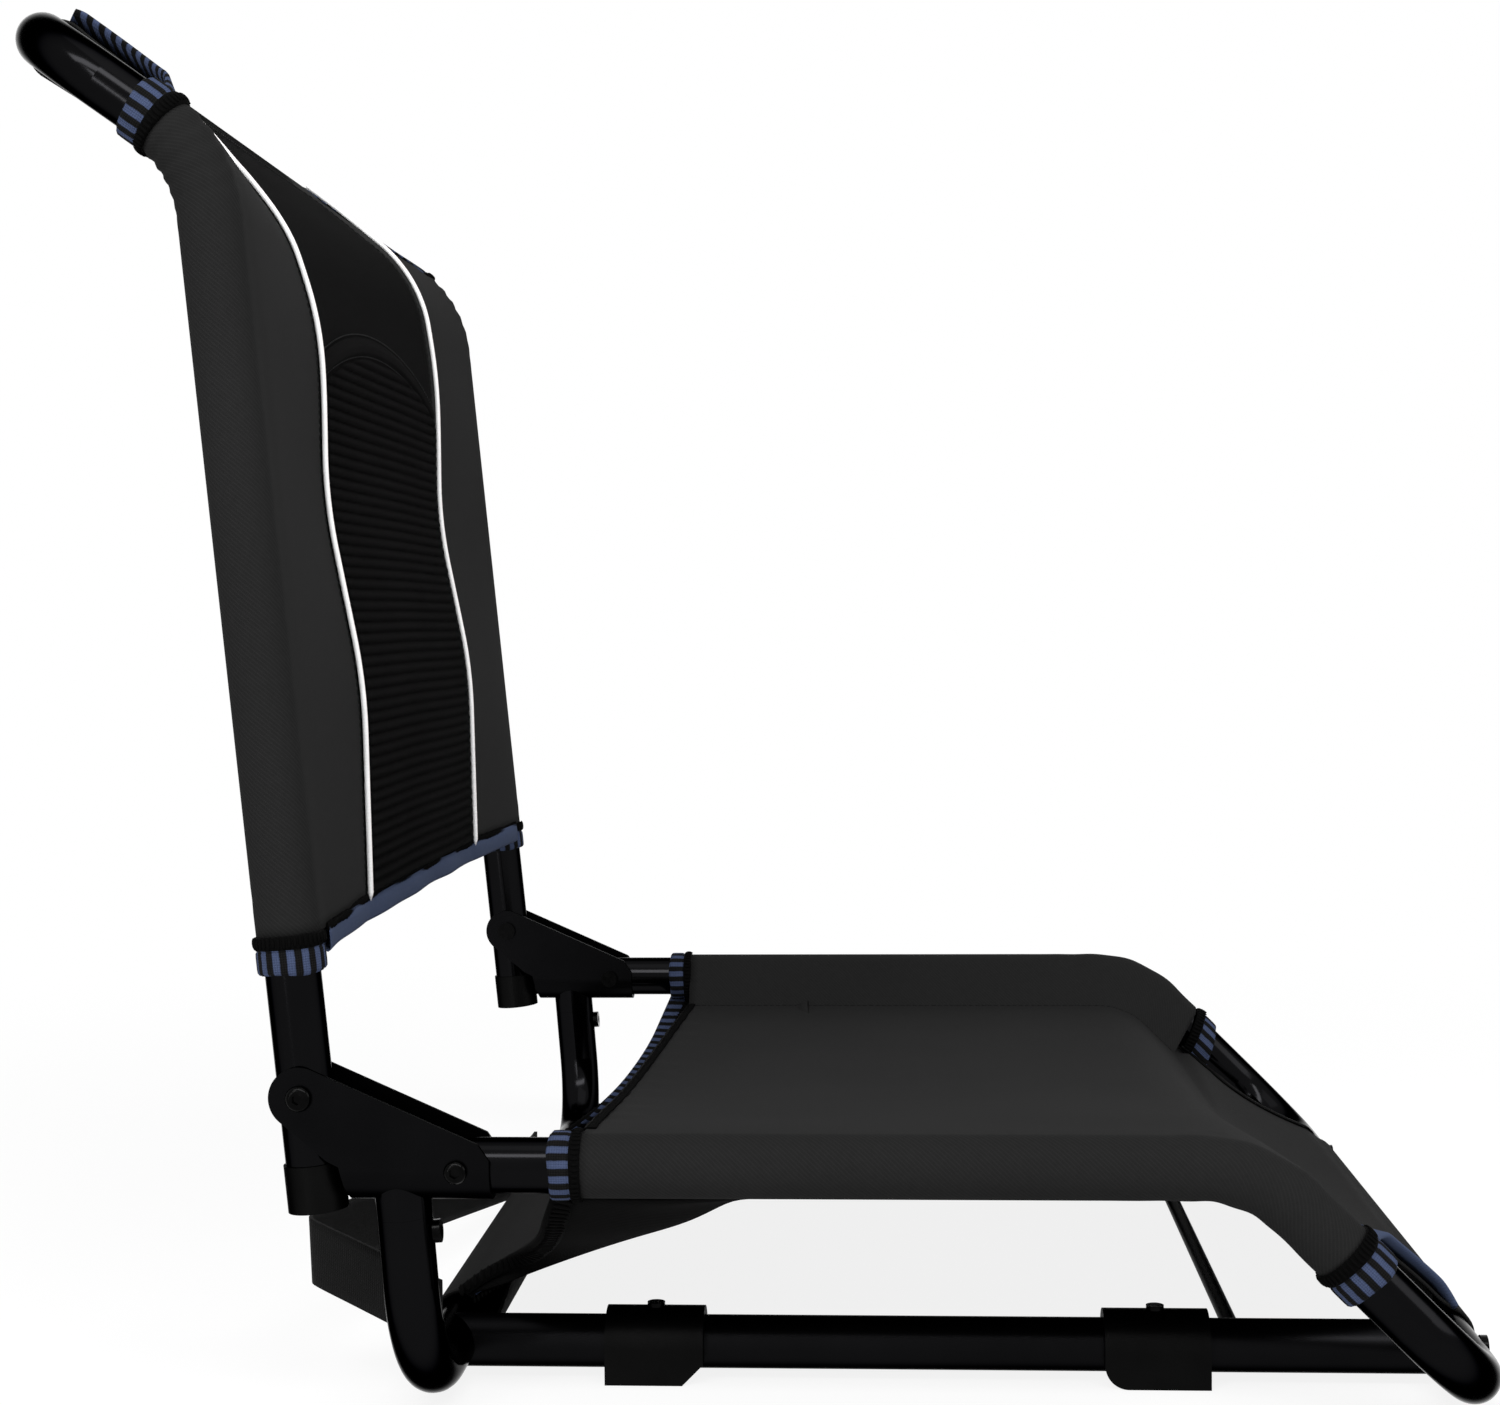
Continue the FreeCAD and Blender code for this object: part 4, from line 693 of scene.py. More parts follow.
def makeSeatCloth():
    look, t = seatLook, tubes
    nearX, nearRise = sleeveSection(
        -t["railX"], -look["seam"], seatRise(-look["seam"]) - 1.7, *look["nearWrap"], t["sleeve"], 21)
    farX, farRise = sleeveSection(t["railX"], *look["farSeam"], *look["farWrap"], t["sleeve"], 29)
    topX = np.concatenate([-look["nearEdge"] * np.cos(np.linspace(0, math.pi / 2, 34)),
                           look["farEdge"] * np.sin(np.linspace(0, math.pi / 2, 34)[1:])])
    sectionX = np.concatenate([nearX[:-1], topX, farX[::-1]])
    sectionRise = np.concatenate([nearRise[:-1], seatRise(topX), farRise[::-1]])
    onTop = np.zeros(len(sectionX), bool)
    onTop[len(nearX) - 1:len(nearX) - 1 + len(topX)] = True
    stop = slopeAt(look["stopRun"])
    base = np.concatenate([np.linspace(look["rear"], 296, 44), np.linspace(300, 366, 34), np.linspace(368, stop, 6)])
    fade = np.clip((look["scoopFade"] - base) / (look["scoopFade"] - look["rear"]), 0, 1)
    s = base[:, None] + (rearEdge(sectionX)[None, :] - look["rear"]) * fade[:, None]
    askew = np.where(~onTop & (sectionX > 200), look["farSkew"] * sectionRise / t["sleeve"], 0)
    s = s - askew[None, :] * ease((base - 330) / (stop - 330))[:, None]
    # soft unevenness on the seat, small folds where the sleeves go round the bend
    inner = ease((225 - np.abs(sectionX)) / 60)
    slack = look["slack"] * ripple(sectionX[None, :] / 55, s / 55, 5) * inner
    bend = np.exp(-((s - look["bend"]) / look["bendSpread"]) ** 2)
    folds = look["wrinkle"] * bend * np.sin(s / 3.1 + 2.2 * ripple(sectionX[None, :] / 9, s / 26, 8))
    folds = folds * ease((np.abs(sectionX) - 214) / 16)
    tug = 0.35 * np.exp(-((s - 104) / 9) ** 2) * np.sin(sectionX[None, :] / 5.2 + s / 7)
    rise = sectionRise[None, :] + np.where(onTop, slack + tug * inner, 0)
    grow = 1 + folds / t["sleeve"]
    sided = np.sign(sectionX) * t["railX"]
    nearTube = np.abs(sectionX) > look["sleeveFrom"]
    x = np.where(nearTube, sided + (sectionX - sided) * grow, sectionX)
    rise = np.where(nearTube, rise * grow, rise)
    sling = onSeat(x, s, rise)
    reachAcross = np.concatenate([[0], np.cumsum(np.hypot(np.diff(sectionX), np.diff(sectionRise)))])
    reachAcross = reachAcross - reachAcross[len(reachAcross) // 2]
    slingMarks = joined(reachAcross[None, :], s)
    # front panel below the rings, then the hem round the front bar
    runs = np.concatenate([[42.6], np.linspace(44, 104, 30)])
    across = np.where(topX < 0, topX / look["nearEdge"], topX / look["farEdge"])
    panelX = np.where(across < 0, frontEdge(runs)[:, None], frontEdge(runs, 1)[:, None]) * across
    lift = frontRise(panelX, runs[:, None])
    lift = lift + 0.4 * ripple(panelX / 40, runs[:, None] / 25, 12) * ease((1 - np.abs(across)) / 0.3)
    panel = onSeat(panelX, slopeAt(runs)[:, None], lift)
    wrap = np.radians(np.linspace(*look["hemWrap"], 26))
    hemRun = np.concatenate([t["slopeLength"] + t["sleeve"] * np.sin(wrap), look["hemTurn"]])
    hemRise = np.concatenate([t["sleeve"] * np.cos(wrap), look["hemTurnRise"]])
    hem = onSeat((look["hemHalf"] + 2) * across[None, :], slopeAt(hemRun)[:, None], hemRise[:, None])
    front = np.concatenate([sling[-1:][:, onTop], panel, hem])
    along = distances(front[:, len(across) // 2])
    frontX = np.concatenate([panelX[:1], panelX, np.repeat(panelX[-1:], len(hemRun), 0)])
    frontMarks = joined(frontX, stop + along[:, None])
    cloth = gridPiece("seatCloth", [sling, front], (0, 0, 1), [sideCloth], marks=[slingMarks, frontMarks])
    thicken(cloth, look["thick"])
    settle(cloth, "base", "side_cloth", "seat_sling", "seat_front_panel")


makeSeatCloth()
print("seat cloth made")


# back cloth: two side panels in charcoal with a near-black middle between the seams
backLook = {
    "start": 57.3, "seam": 123.0, "sleeveSeam": 211.0, "thick": 1.1, "sleeveStop": 350.2, "headHalf": 193.0,
    "cornerX": 238.0, "cornerAlong": 72.7, "corner": 45.0, "wrinkle": 0.42, "slack": 0.4,
    "ringAlong": 29.2, "ringHalf": 227.0, "cornerEnd": 73.5, "tubeWrap": (-126, 90), "sleeveFrom": 229,
    "hemWrap": (-12, 205), "hemTurn": [70.0, 62.0], "hemTurnRise": [-3.0, 7.2],
}


def headEdge(along):
    # half width of the head of the back at each place up it
    look = backLook
    arc = look["cornerX"] - np.sqrt(np.maximum(look["corner"] ** 2 - (along - look["cornerAlong"]) ** 2, 0))
    narrow = np.where(along > look["cornerEnd"], look["headHalf"] + 0.5, arc)
    return np.where(along < look["ringAlong"], look["ringHalf"], narrow)


def sideRise(x, s):
    # straight from the seam to the front of the side tube
    share = (np.abs(x) - backLook["seam"]) / (tubes["railX"] - backLook["seam"])
    return panelRise(s) + (tubes["sleeve"] - panelRise(s)) * np.clip(share, 0, 1)


def backHem(half):
    # the cloth goes over the head bar and back under itself
    look = backLook
    wrap = np.radians(np.linspace(*look["hemWrap"], 26))
    along = np.concatenate([tubes["headLength"] + tubes["sleeve"] * np.sin(wrap), look["hemTurn"]])
    rise = np.concatenate([tubes["sleeve"] * np.cos(wrap), look["hemTurnRise"]])
    return onBack(half, headAt(along)[:, None], rise[:, None])


def makeSidePanel(label, side):
    look, t = backLook, tubes
    sleeveX, sleeveRise = sleeveSection(t["railX"], look["sleeveSeam"], 0.0, *look["tubeWrap"], t["sleeve"], 27)
    flatX = np.linspace(t["railX"], look["seam"], 30)[1:]
    low = np.concatenate([np.linspace(look["start"], 308, 56), np.linspace(312, look["sleeveStop"], 22)])
    s = low[:, None] + np.zeros(len(sleeveX) + len(flatX))[None, :]
    x = np.concatenate([sleeveX, flatX])
    seamRise = sideRise(look["sleeveSeam"], low) - 1.6
    backPart = np.linspace(1, 0, 6)[:5]
    rise = np.zeros_like(s)
    rise[:, :len(sleeveX)] = sleeveRise[None, :]
    rise[:, :5] = seamRise[:, None] * backPart[None, :] + sleeveRise[5] * (1 - backPart)[None, :]
    x = x[None, :] + np.zeros_like(s)
    x[:, :5] = (look["sleeveSeam"] * backPart + sleeveX[5] * (1 - backPart))[None, :]
    rise[:, len(sleeveX):] = sideRise(flatX[None, :], low[:, None])
    # small folds round the head bend, fading down the sleeve, and a soft unevenness over the flat
    bend = np.exp(-((s - 345) / 24) ** 2) + 0.25 * np.exp(-((s - 66) / 8) ** 2)
    folds = look["wrinkle"] * bend * np.sin(s / 1.15 + 2.4 * ripple(x / 7, s / 24, 20 + side))
    onSleeve = x > look["sleeveFrom"]
    grow = 1 + folds / t["sleeve"]
    slack = look["slack"] * ripple(x / 34, s / 48, 31 + side) * ease((x - 126) / 20) * ease((236 - x) / 16)
    rise = np.where(onSleeve, rise * grow, rise)
    rise[:, len(sleeveX):] += slack[:, len(sleeveX):]
    x = np.where(onSleeve, t["railX"] + (x - t["railX"]) * grow, x)
    lower = onBack(side * x, s, rise)
    lowerMarks = joined(distances(lower[20])[None, :], s)
    # above the upper ring the panel narrows to the head bar
    ups = np.concatenate([np.linspace(17.5, 27, 5), np.linspace(29.5, 71, 24)])
    share = (flatX - look["seam"]) / (flatX[0] - look["seam"])
    headX = look["seam"] + (headEdge(ups)[:, None] - look["seam"]) * share[None, :]
    headS = headAt(ups)[:, None] + np.zeros_like(headX)
    head = onBack(side * headX, headS, sideRise(headX, headS))
    hemX = look["seam"] + (look["headHalf"] - look["seam"]) * share
    hem = backHem(side * hemX[None, :])
    upper = np.concatenate([lower[-1:][:, len(sleeveX):], head, hem])
    upperX = np.concatenate([headX[:1], headX, np.repeat(hemX[None, :], len(hem), 0)])
    upperMarks = joined(upperX, low[-1] + distances(upper[:, 20])[:, None])
    panel = gridPiece("backPanel" + label, [lower, upper], (0, -1, 0.1), [sideCloth], marks=[lowerMarks, upperMarks])
    thicken(panel, look["thick"])
    settle(panel, "backrest", "side_cloth", "back_panel_" + label.lower())


def makeMiddlePanel():
    look = backLook
    x = np.linspace(-look["seam"], look["seam"], 41)
    s = np.concatenate([np.linspace(look["start"], 308, 56), np.linspace(312, headAt(71.0), 40)])
    hollow = 0.8 * (1 - (x / look["seam"]) ** 2)
    rise = panelRise(s)[:, None] - hollow[None, :]
    rise = rise + 0.35 * ripple(x[None, :] / 40, s[:, None] / 40, 44) * ease((look["seam"] - np.abs(x)) / 30)[None, :]
    sheet = onBack(x[None, :], s[:, None], rise)
    hem = backHem(x[None, :])
    panel = gridPiece("backMiddle", [np.concatenate([sheet, hem])], (0, -1, 0.1), [middleCloth])
    thicken(panel, look["thick"])
    settle(panel, "backrest", "middle_cloth", "back_middle_panel")


for label, side in (("Right", -1), ("Left", 1)):
    makeSidePanel(label, side)
makeMiddlePanel()
print("back cloth made")


# ribbed lumbar pad: flat sewn channels under a domed seam
padLook = {"half": 121.4, "low": 57.8, "domeTop": 294.0, "domeSide": 275.0, "pitch": 4.6, "rib": 1.3, "thick": 1.5,
           "band": 8.5, "rows": 380, "columns": 52}


def padTree():
    tree, given, result = geoTree("ribbedPad", [
        ("Pitch", "NodeSocketFloat"), ("Rib Height", "NodeSocketFloat"), ("Finish", "NodeSocketMaterial")])

    def read(name, kind="FLOAT"):
        found = geoNode(tree, "GeometryNodeInputNamedAttribute", {"data_type": kind}, {"Name": name})
        return found.outputs["Attribute"]

    def sums(operation, first, second=0.0):
        return geoNode(tree, "ShaderNodeMath", {"operation": operation}, {0: first, 1: second}).outputs[0]

    place = sums("FRACT", sums("DIVIDE", read("along"), given["Pitch"]))
    curve = sums("POWER", sums("ABSOLUTE", sums("SINE", sums("MULTIPLY", place, math.pi))), 0.6)
    lift = sums("MULTIPLY", sums("MULTIPLY", curve, given["Rib Height"]), read("ribbed"))
    offset = geoNode(tree, "ShaderNodeVectorMath", {"operation": "SCALE"},
                     {0: read("outward", "FLOAT_VECTOR"), "Scale": lift})
    moved = geoNode(tree, "GeometryNodeSetPosition", None, {0: given["Geometry"], "Offset": offset.outputs[0]})
    return closeTree(tree, given, result, moved)


def domeAt(x):
    # the dome seam is part of a circle through its top and its two ends
    look = padLook
    rise = look["domeTop"] - look["domeSide"]
    radius = (look["half"] ** 2 + rise ** 2) / (2 * rise)
    return look["domeTop"] - radius + np.sqrt(radius ** 2 - np.asarray(x) ** 2)


def makePad():
    look = padLook
    x = look["half"] * np.sin(np.linspace(-math.pi / 2, math.pi / 2, look["columns"]))
    share = np.linspace(0, 1, look["rows"])
    top = domeAt(x)
    s = look["low"] + share[:, None] * (top[None, :] - look["low"])
    x = x[None, :] + np.zeros_like(s)
    belowDome = top[None, :] - s
    edge = ease((look["half"] - np.abs(x)) / 2.2 + 0.12) * ease(belowDome / 4.5 + 0.05)
    edge = edge * ease((s - look["low"]) / 2 + 0.3)
    groove = 1 - 0.75 * np.exp(-((belowDome - look["band"]) / 1.0) ** 2)
    ribbed = ease((belowDome - look["band"] - 0.6) / 1.2) * ease((look["half"] - np.abs(x)) / 1.6 + 0.25)
    plain = look["thick"] + 0.5 * (1 - ease((belowDome - look["band"]) / 1.0))
    lift = plain * edge * groove
    wander = 0.35 * ripple(x / 34, s / 90, 52)
    rise = panelRise(s) + 0.25 + lift
    points, outs = lineOn(onBack, x, s, rise)
    mesh = bpy.data.meshes.new("padCarrier")
    flat = points.reshape(-1, 3)
    mesh.from_pydata((flat * mm).tolist(), [], gridFaces(look["rows"], look["columns"]))
    for name, values in (("along", (s + wander - look["low"]) * mm), ("ribbed", ribbed)):
        layer = mesh.attributes.new(name, "FLOAT", "POINT")
        layer.data.foreach_set("value", np.ascontiguousarray(values, np.float32).ravel())
    layer = mesh.attributes.new("outward", "FLOAT_VECTOR", "POINT")
    layer.data.foreach_set("vector", np.ascontiguousarray(outs, np.float32).ravel())
    # distance along the ribs for the cloth's weave and its painted groove shade; outside the ribbed area it is held at
    # the lightest point of that painted shade
    weaveAndRibShadeAlong = np.where(ribbed > 0.3, s + wander - look["low"], 2.5 * look["pitch"])
    marks = np.stack([x, weaveAndRibShadeAlong], -1).reshape(-1, 2)
    layer = mesh.uv_layers.new(name="cloth")
    loops = np.array([loop.vertex_index for loop in mesh.loops])
    layer.data.foreach_set("uv", (marks[loops] * 0.01).astype(np.float32).ravel())
    pad = runTree("lumbarPad", addObject("padCarrier", mesh), padTree(), {
        "Pitch": look["pitch"] * mm, "Rib Height": look["rib"] * mm, "Finish": padCloth})
    if sum((polygon.normal * polygon.area for polygon in pad.data.polygons), Vector()).y > 0:
        pad.data.flip_normals()
    thicken(pad, 0.25)
    settle(pad, "backrest", "middle_cloth", "lumbar_pad")


makePad()
print("lumbar pad made")


# white piping over the two seams
pipingLook = {"radius": 1.15, "first": 55.6, "last": 66.5, "sides": 10, "lift": 0.55, "farLift": 1.6}


def makePiping(label, side):
    look = pipingLook
    s = np.concatenate([np.linspace(look["first"], 308, 84), np.linspace(311, headAt(look["last"]), 40)])
    rise = panelRise(s) + look["lift"] + look["farLift"] * (side > 0) + look["radius"]
    taper = np.sqrt(np.clip(1 - (1 - np.clip((s - look["first"]) / 1.6, 0, 1)) ** 2, 0.02, 1))
    angles = np.linspace(0, turn, look["sides"], endpoint=False)
    sway = 0.25 * ripple(s / 22, s * 0, 60 + side)
    radius = (look["radius"] * taper)[:, None]
    x = side * backLook["seam"] + sway[:, None] + radius * np.cos(angles)[None, :]
    bead = onBack(x, s[:, None], rise[:, None] + radius * np.sin(angles)[None, :])
    girth = joined((angles * look["radius"])[None, :], s[:, None])
    faces = gridFaces(len(s), look["sides"], 0, True)
    ends = [tuple(range(look["sides"]))[::-1], tuple(range((len(s) - 1) * look["sides"], len(s) * look["sides"]))]
    piping = addPiece("piping" + label, bead.reshape(-1, 3), faces + ends, girth.reshape(-1, 2), None, [pipingWhite])
    settle(piping, "backrest", "piping_white", "piping_" + label.lower())


for label, side in (("Right", -1), ("Left", 1)):
    makePiping(label, side)
print("piping made")


# striped rings where the sleeves end on the tubes, each with an overlocked black edge
ringLook = {"inner": 10.4, "tape": 12.3, "edge": 12.7, "edgeShare": 0.36, "columns": 84, "ridge": 0.22}


def ringGrid(surface, side, first, last, askew):
    # first is the striped end on bare tube, last is the black end at the cloth
    look = ringLook
    share = np.array([0, 0.02, 0.08, 0.2, 0.34, 0.48, 0.58, 0.63, 0.66, 0.74, 0.84, 0.93, 0.98, 1.0])
    tape, edge = look["tape"], look["edge"]
    radius = np.array([look["inner"], tape - 0.7, tape - 0.1, tape, tape, tape, tape - 0.1, tape - 0.4,
                       edge - 0.3, edge, edge, edge - 0.1, edge - 0.5, look["inner"] + 0.7])
    angles = np.linspace(0, turn, look["columns"], endpoint=False)
    girth = angles * tape
    bars = np.cos(girth / stripeLook["pitch"] * turn)
    radius = radius[:, None] + look["ridge"] * bars[None, :] * (share < 0.63)[:, None]
    s = first + (last - first) * share[:, None] + np.zeros_like(radius)
    s = s + askew * np.sin(angles)[None, :] * (1 - 0.3 * share[:, None])
    s = s + 0.5 * ripple(angles * 3, angles * 0 + side, 70)[None, :] * (1 - share[:, None]) * np.sign(first - last)
    grid = surface(side * tubes["railX"] + radius * np.cos(angles)[None, :], s, radius * np.sin(angles)[None, :])
    middle = first + (last - first) * 0.84
    whole = np.append(angles, 0)
    row = surface(side * tubes["railX"] + edge * np.cos(whole), middle + 0.75 * askew * np.sin(whole),
                  edge * np.sin(whole))
    centre = surface(side * tubes["railX"], middle, 0.0)
    outs = unit(row - centre)
    marks = joined(girth[None, :], np.abs(s - first))
    return grid, marks, (row, outs), (share[:-1] >= 0.64)


def makeRings(name, surface, first, last, body, node, askew=0.0):
    grids, marks, rows, black = [], [], [], []
    for side in (-1, 1):
        grid, mark, row, dark = ringGrid(surface, side, first, last, askew if side > 0 else 0.0)
        grids.append(grid)
        marks.append(mark)
        rows.append(row)
        black += list(np.repeat(dark.astype(int), ringLook["columns"]))
    rings = gridPiece(name, grids, None, [stripeTape, overlockBlack], black, True, marks)
    settle(rings, body, "binding_cloth", node)
    beads(name + "Overlock", rows, dict(overlockLook, across=abs(last - first) * ringLook["edgeShare"],
                                         seed=len(name)), body, "binding_cloth")


makeRings("seatRearRings", onSeat, 88.0, 99.6, "base", "seat_rear_rings")
makeRings("seatFrontRings", onSeat, slopeAt(57.0), slopeAt(41.4), "base", "seat_front_rings", -6.0)
makeRings("backLowerRings", onBack, 43.5, 57.6, "backrest", "back_lower_rings")
makeRings("backUpperRings", onBack, headAt(29.2), 349.8, "backrest", "back_upper_rings")
print("rings made")


# folded edge tapes, over the edge of the cloth and back underneath
def foldedTape(name, edge, out, inward, look, finish, body, node, underFinish=None, farFinish=None):
    section = [(look["width"], look["above"]), (look["width"] * 0.6, look["above"] + 0.25), (1.0, look["above"] + 0.1),
               (0.1, look["above"] * 0.4), (-0.35, -look["below"] * 0.3), (0.1, -look["below"] * 0.8),
               (1.0, -look["below"]), (look["width"], -look["below"])]
    grids = []
    for line, normal, into in zip(edge, out, inward):
        grids.append(np.stack([line + into * a + normal * b for a, b in section], 1))
    marks = []
    for grid in grids:
        width = np.array([0, 0.4, 0.9, 1.0, 1.05, 1.1, 1.2, 2.0]) * look["width"]
        marks.append(joined(distances(grid[:, 3])[:, None], width[None, :]))
    sides = [2 if farFinish and count else 0 if column < 5 else 1
             for count, grid in enumerate(grids) for row in grid[1:] for column in range(len(section) - 1)]
    tape = gridPiece(name, grids, look["outward"], [finish, underFinish or finish, farFinish or finish], sides,
                     marks=marks)
    thicken(tape, 0.5, 1.0)
    settle(tape, body, "binding_cloth", node)


# rear edge of the seat, between the rings
scoopLook = {"width": 4.6, "above": 0.35, "below": 1.5, "outward": (0, 0, 1)}


def makeScoopTape():
    x = np.linspace(-226.5, 226.5, 150)
    wave = 0.35 * np.sin(x / 4.6) + 0.5 * ripple(x / 18, x * 0, 80)
    s = rearEdge(x) - 1.2 + 0.4 * wave
    line, out = lineOn(onSeat, x, s, seatRise(x))
    into = unit(onSeat(x, s + 1, seatRise(x)) - line)
    foldedTape("seatRearTape", [line], [out], [into], scoopLook, overlockBlack, "base", "seat_rear_binding")
    seamS = rearEdge(x) + 0.4 * scoopLook["width"]
    beads("seatRearOverlock", [lineOn(onSeat, x, seamS, seatRise(x) + 0.55)],
          dict(overlockLook, across=4.2, height=0.9, pitch=2.1), "base", "binding_cloth")


makeScoopTape()

# concave corners of the front panel
frontTapeLook = {"width": 8.0, "above": 0.35, "below": 1.5, "outward": None, "stand": 4.7}


def makeFrontTapes():
    edges, outs, intos, seams = [], [], [], []
    for side in (-1, 1):
        run = np.concatenate([np.linspace(57.2 - 7 * (side > 0), 66, 16), np.linspace(67, 107 + 4 * (side < 0), 28)])
        x = frontEdge(run, side)
        line, out = lineOn(onSeat, side * x, slopeAt(run), frontRise(side * x, run))
        radial = np.stack([x - seatLook["cornerX"], run - seatLook["cornerRun"]], -1) / seatLook["corner"]
        step = unit(onSeat(side * (x + radial[:, 0]), slopeAt(run + radial[:, 1]),
                           frontRise(side * (x + radial[:, 0]), run + radial[:, 1])) - line)
        stand = (frontTapeLook["stand"] * ease((run - 56) / 10) * ease((122 - run) / 24))[:, None] * (side < 0)
        step = unit(step - out * stand / frontTapeLook["width"])
        edges.append(line + out * stand)
        outs.append(out)
        intos.append(step)
        seams.append((line + out * stand + step * 6.6 + out * 0.7, out))
    foldedTape("seatFrontTapes", edges, outs, intos, frontTapeLook, blueCloth, "base", "seat_front_bindings",
               farFinish=overlockBlack)
    beads("seatFrontTapeStitches", seams, stitchLook, "base", "binding_cloth")


makeFrontTapes()

# corners of the head of the back
headTapeLook = {"width": 8.0, "above": 0.35, "below": 1.5, "outward": None, "stand": 6.0}


def makeHeadTapes():
    edges, outs, intos = [], [], []
    for side in (-1, 1):
        up = np.linspace(29.4, 85.0, 38)
        x = headEdge(up)
        s = headAt(up)
        line, out = lineOn(onBack, side * x, s, sideRise(x, s))
        radial = np.stack([x - backLook["cornerX"], up - backLook["cornerAlong"]], -1) / backLook["corner"]
        inX, inS = x + radial[:, 0], headAt(up + radial[:, 1])
        step = unit(onBack(side * inX, inS, sideRise(inX, inS)) - line)
        stand = (headTapeLook["stand"] * ease((up - 28) / 10) * ease((100 - up) / 20))[:, None] * (side < 0)
        edges.append(line + out * stand)
        outs.append(out)
        intos.append(unit(step - out * stand / headTapeLook["width"]))
    foldedTape("backHeadTapes", edges, outs, intos, headTapeLook, headTape, "backrest", "back_head_bindings")


makeHeadTapes()

# plain slate band along the lower edge of the back, overlocked in black where it meets the cloth
lowTapeLook = {"width": 8.6, "above": 0.45, "below": 1.7, "outward": None}


def backRise(x, s):
    # the middle panel between the seams, the side panels beyond them
    return np.where(np.abs(x) < backLook["seam"], panelRise(s), sideRise(x, s))


def makeLowTape():
    x = np.linspace(-227.0, 227.0, 170)
    s = 48.6 + 0.5 * ripple(x / 20, x * 0, 90)
    ruffle = 0.7 * ripple(x / 13, x * 0, 91)
    rise = backRise(x, backLook["start"])
    line, out = lineOn(onBack, x, s, rise + ruffle)
    into = unit(onBack(x, s + 1, rise) - onBack(x, s, rise))
    foldedTape("backLowTape", [line], [out], [into], lowTapeLook, blueCloth, "backrest", "back_bottom_binding")
    beads("backLowOverlock", [lineOn(onBack, x, 57.2 + 0.4 * ripple(x / 8, x * 0, 92), rise + 0.7)],
          dict(overlockLook, across=3.8, height=1.2), "backrest", "binding_cloth")


makeLowTape()
print("edge tapes made")


# pocket sheet under the seat, from the rails back to a hem on the rear bar, with taped side walls
flapLook = {"half": 236.0, "hemHalf": 149.0, "sideRadius": 150.0, "sideX": 307.9, "sideAlong": 8.4, "length": 143.1,
            "foot": (35.27, 21.91), "top": (165.0, 77.6), "thick": 1.1, "hemBlend": 26.0, "tuck": 6.0,
            "wall": [(-240.0, 88.5, 84.0), (-233.0, 85.0, 76.0), (-208.0, 79.0, 61.5), (-172.0, 68.5, 48.5),
                     (-152.0, 57.0, 39.5), (-147.0, 45.0, 31.5), (-147.0, 38.0, 26.0)]}
flapTapeLook = {"width": 8.4, "above": 0.4, "below": 1.6, "outward": None}


def onFlap(x, along, rise):
    foot, top = np.array(flapLook["foot"]), np.array(flapLook["top"])
    way = unit(top - foot)
    ahead = foot[0] + way[0] * along - way[1] * rise
    height = foot[1] + way[1] * along + way[0] * rise
    return joined(np.asarray(x, float), tubes["hingeY"] - ahead, height)


def flapEdge(along):
    look = flapLook
    arc = look["sideX"] - np.sqrt(look["sideRadius"] ** 2 - (along - look["sideAlong"]) ** 2)
    arc = look["hemHalf"] + (arc - look["hemHalf"]) * ease(along / look["hemBlend"])
    return np.minimum(arc, look["half"])


def smoothLine(points, count):
    # a soft curve near a few points
    curve = bpy.data.curves.new("route", "CURVE")
    curve.dimensions = "3D"
    spline = curve.splines.new("NURBS")
    spline.points.add(len(points) - 1)
    for point, place in zip(spline.points, points):
        point.co = (*place, 1.0)
    spline.order_u = 3
    spline.use_endpoint_u = True
    spline.resolution_u = 12
    line = np.array([vertex.co for vertex in finalMesh(addObject("route", curve)).vertices])
    step = distances(line)
    even = np.linspace(0, step[-1], count)
    return np.stack([np.interp(even, step, line[:, axis]) for axis in range(3)], -1)


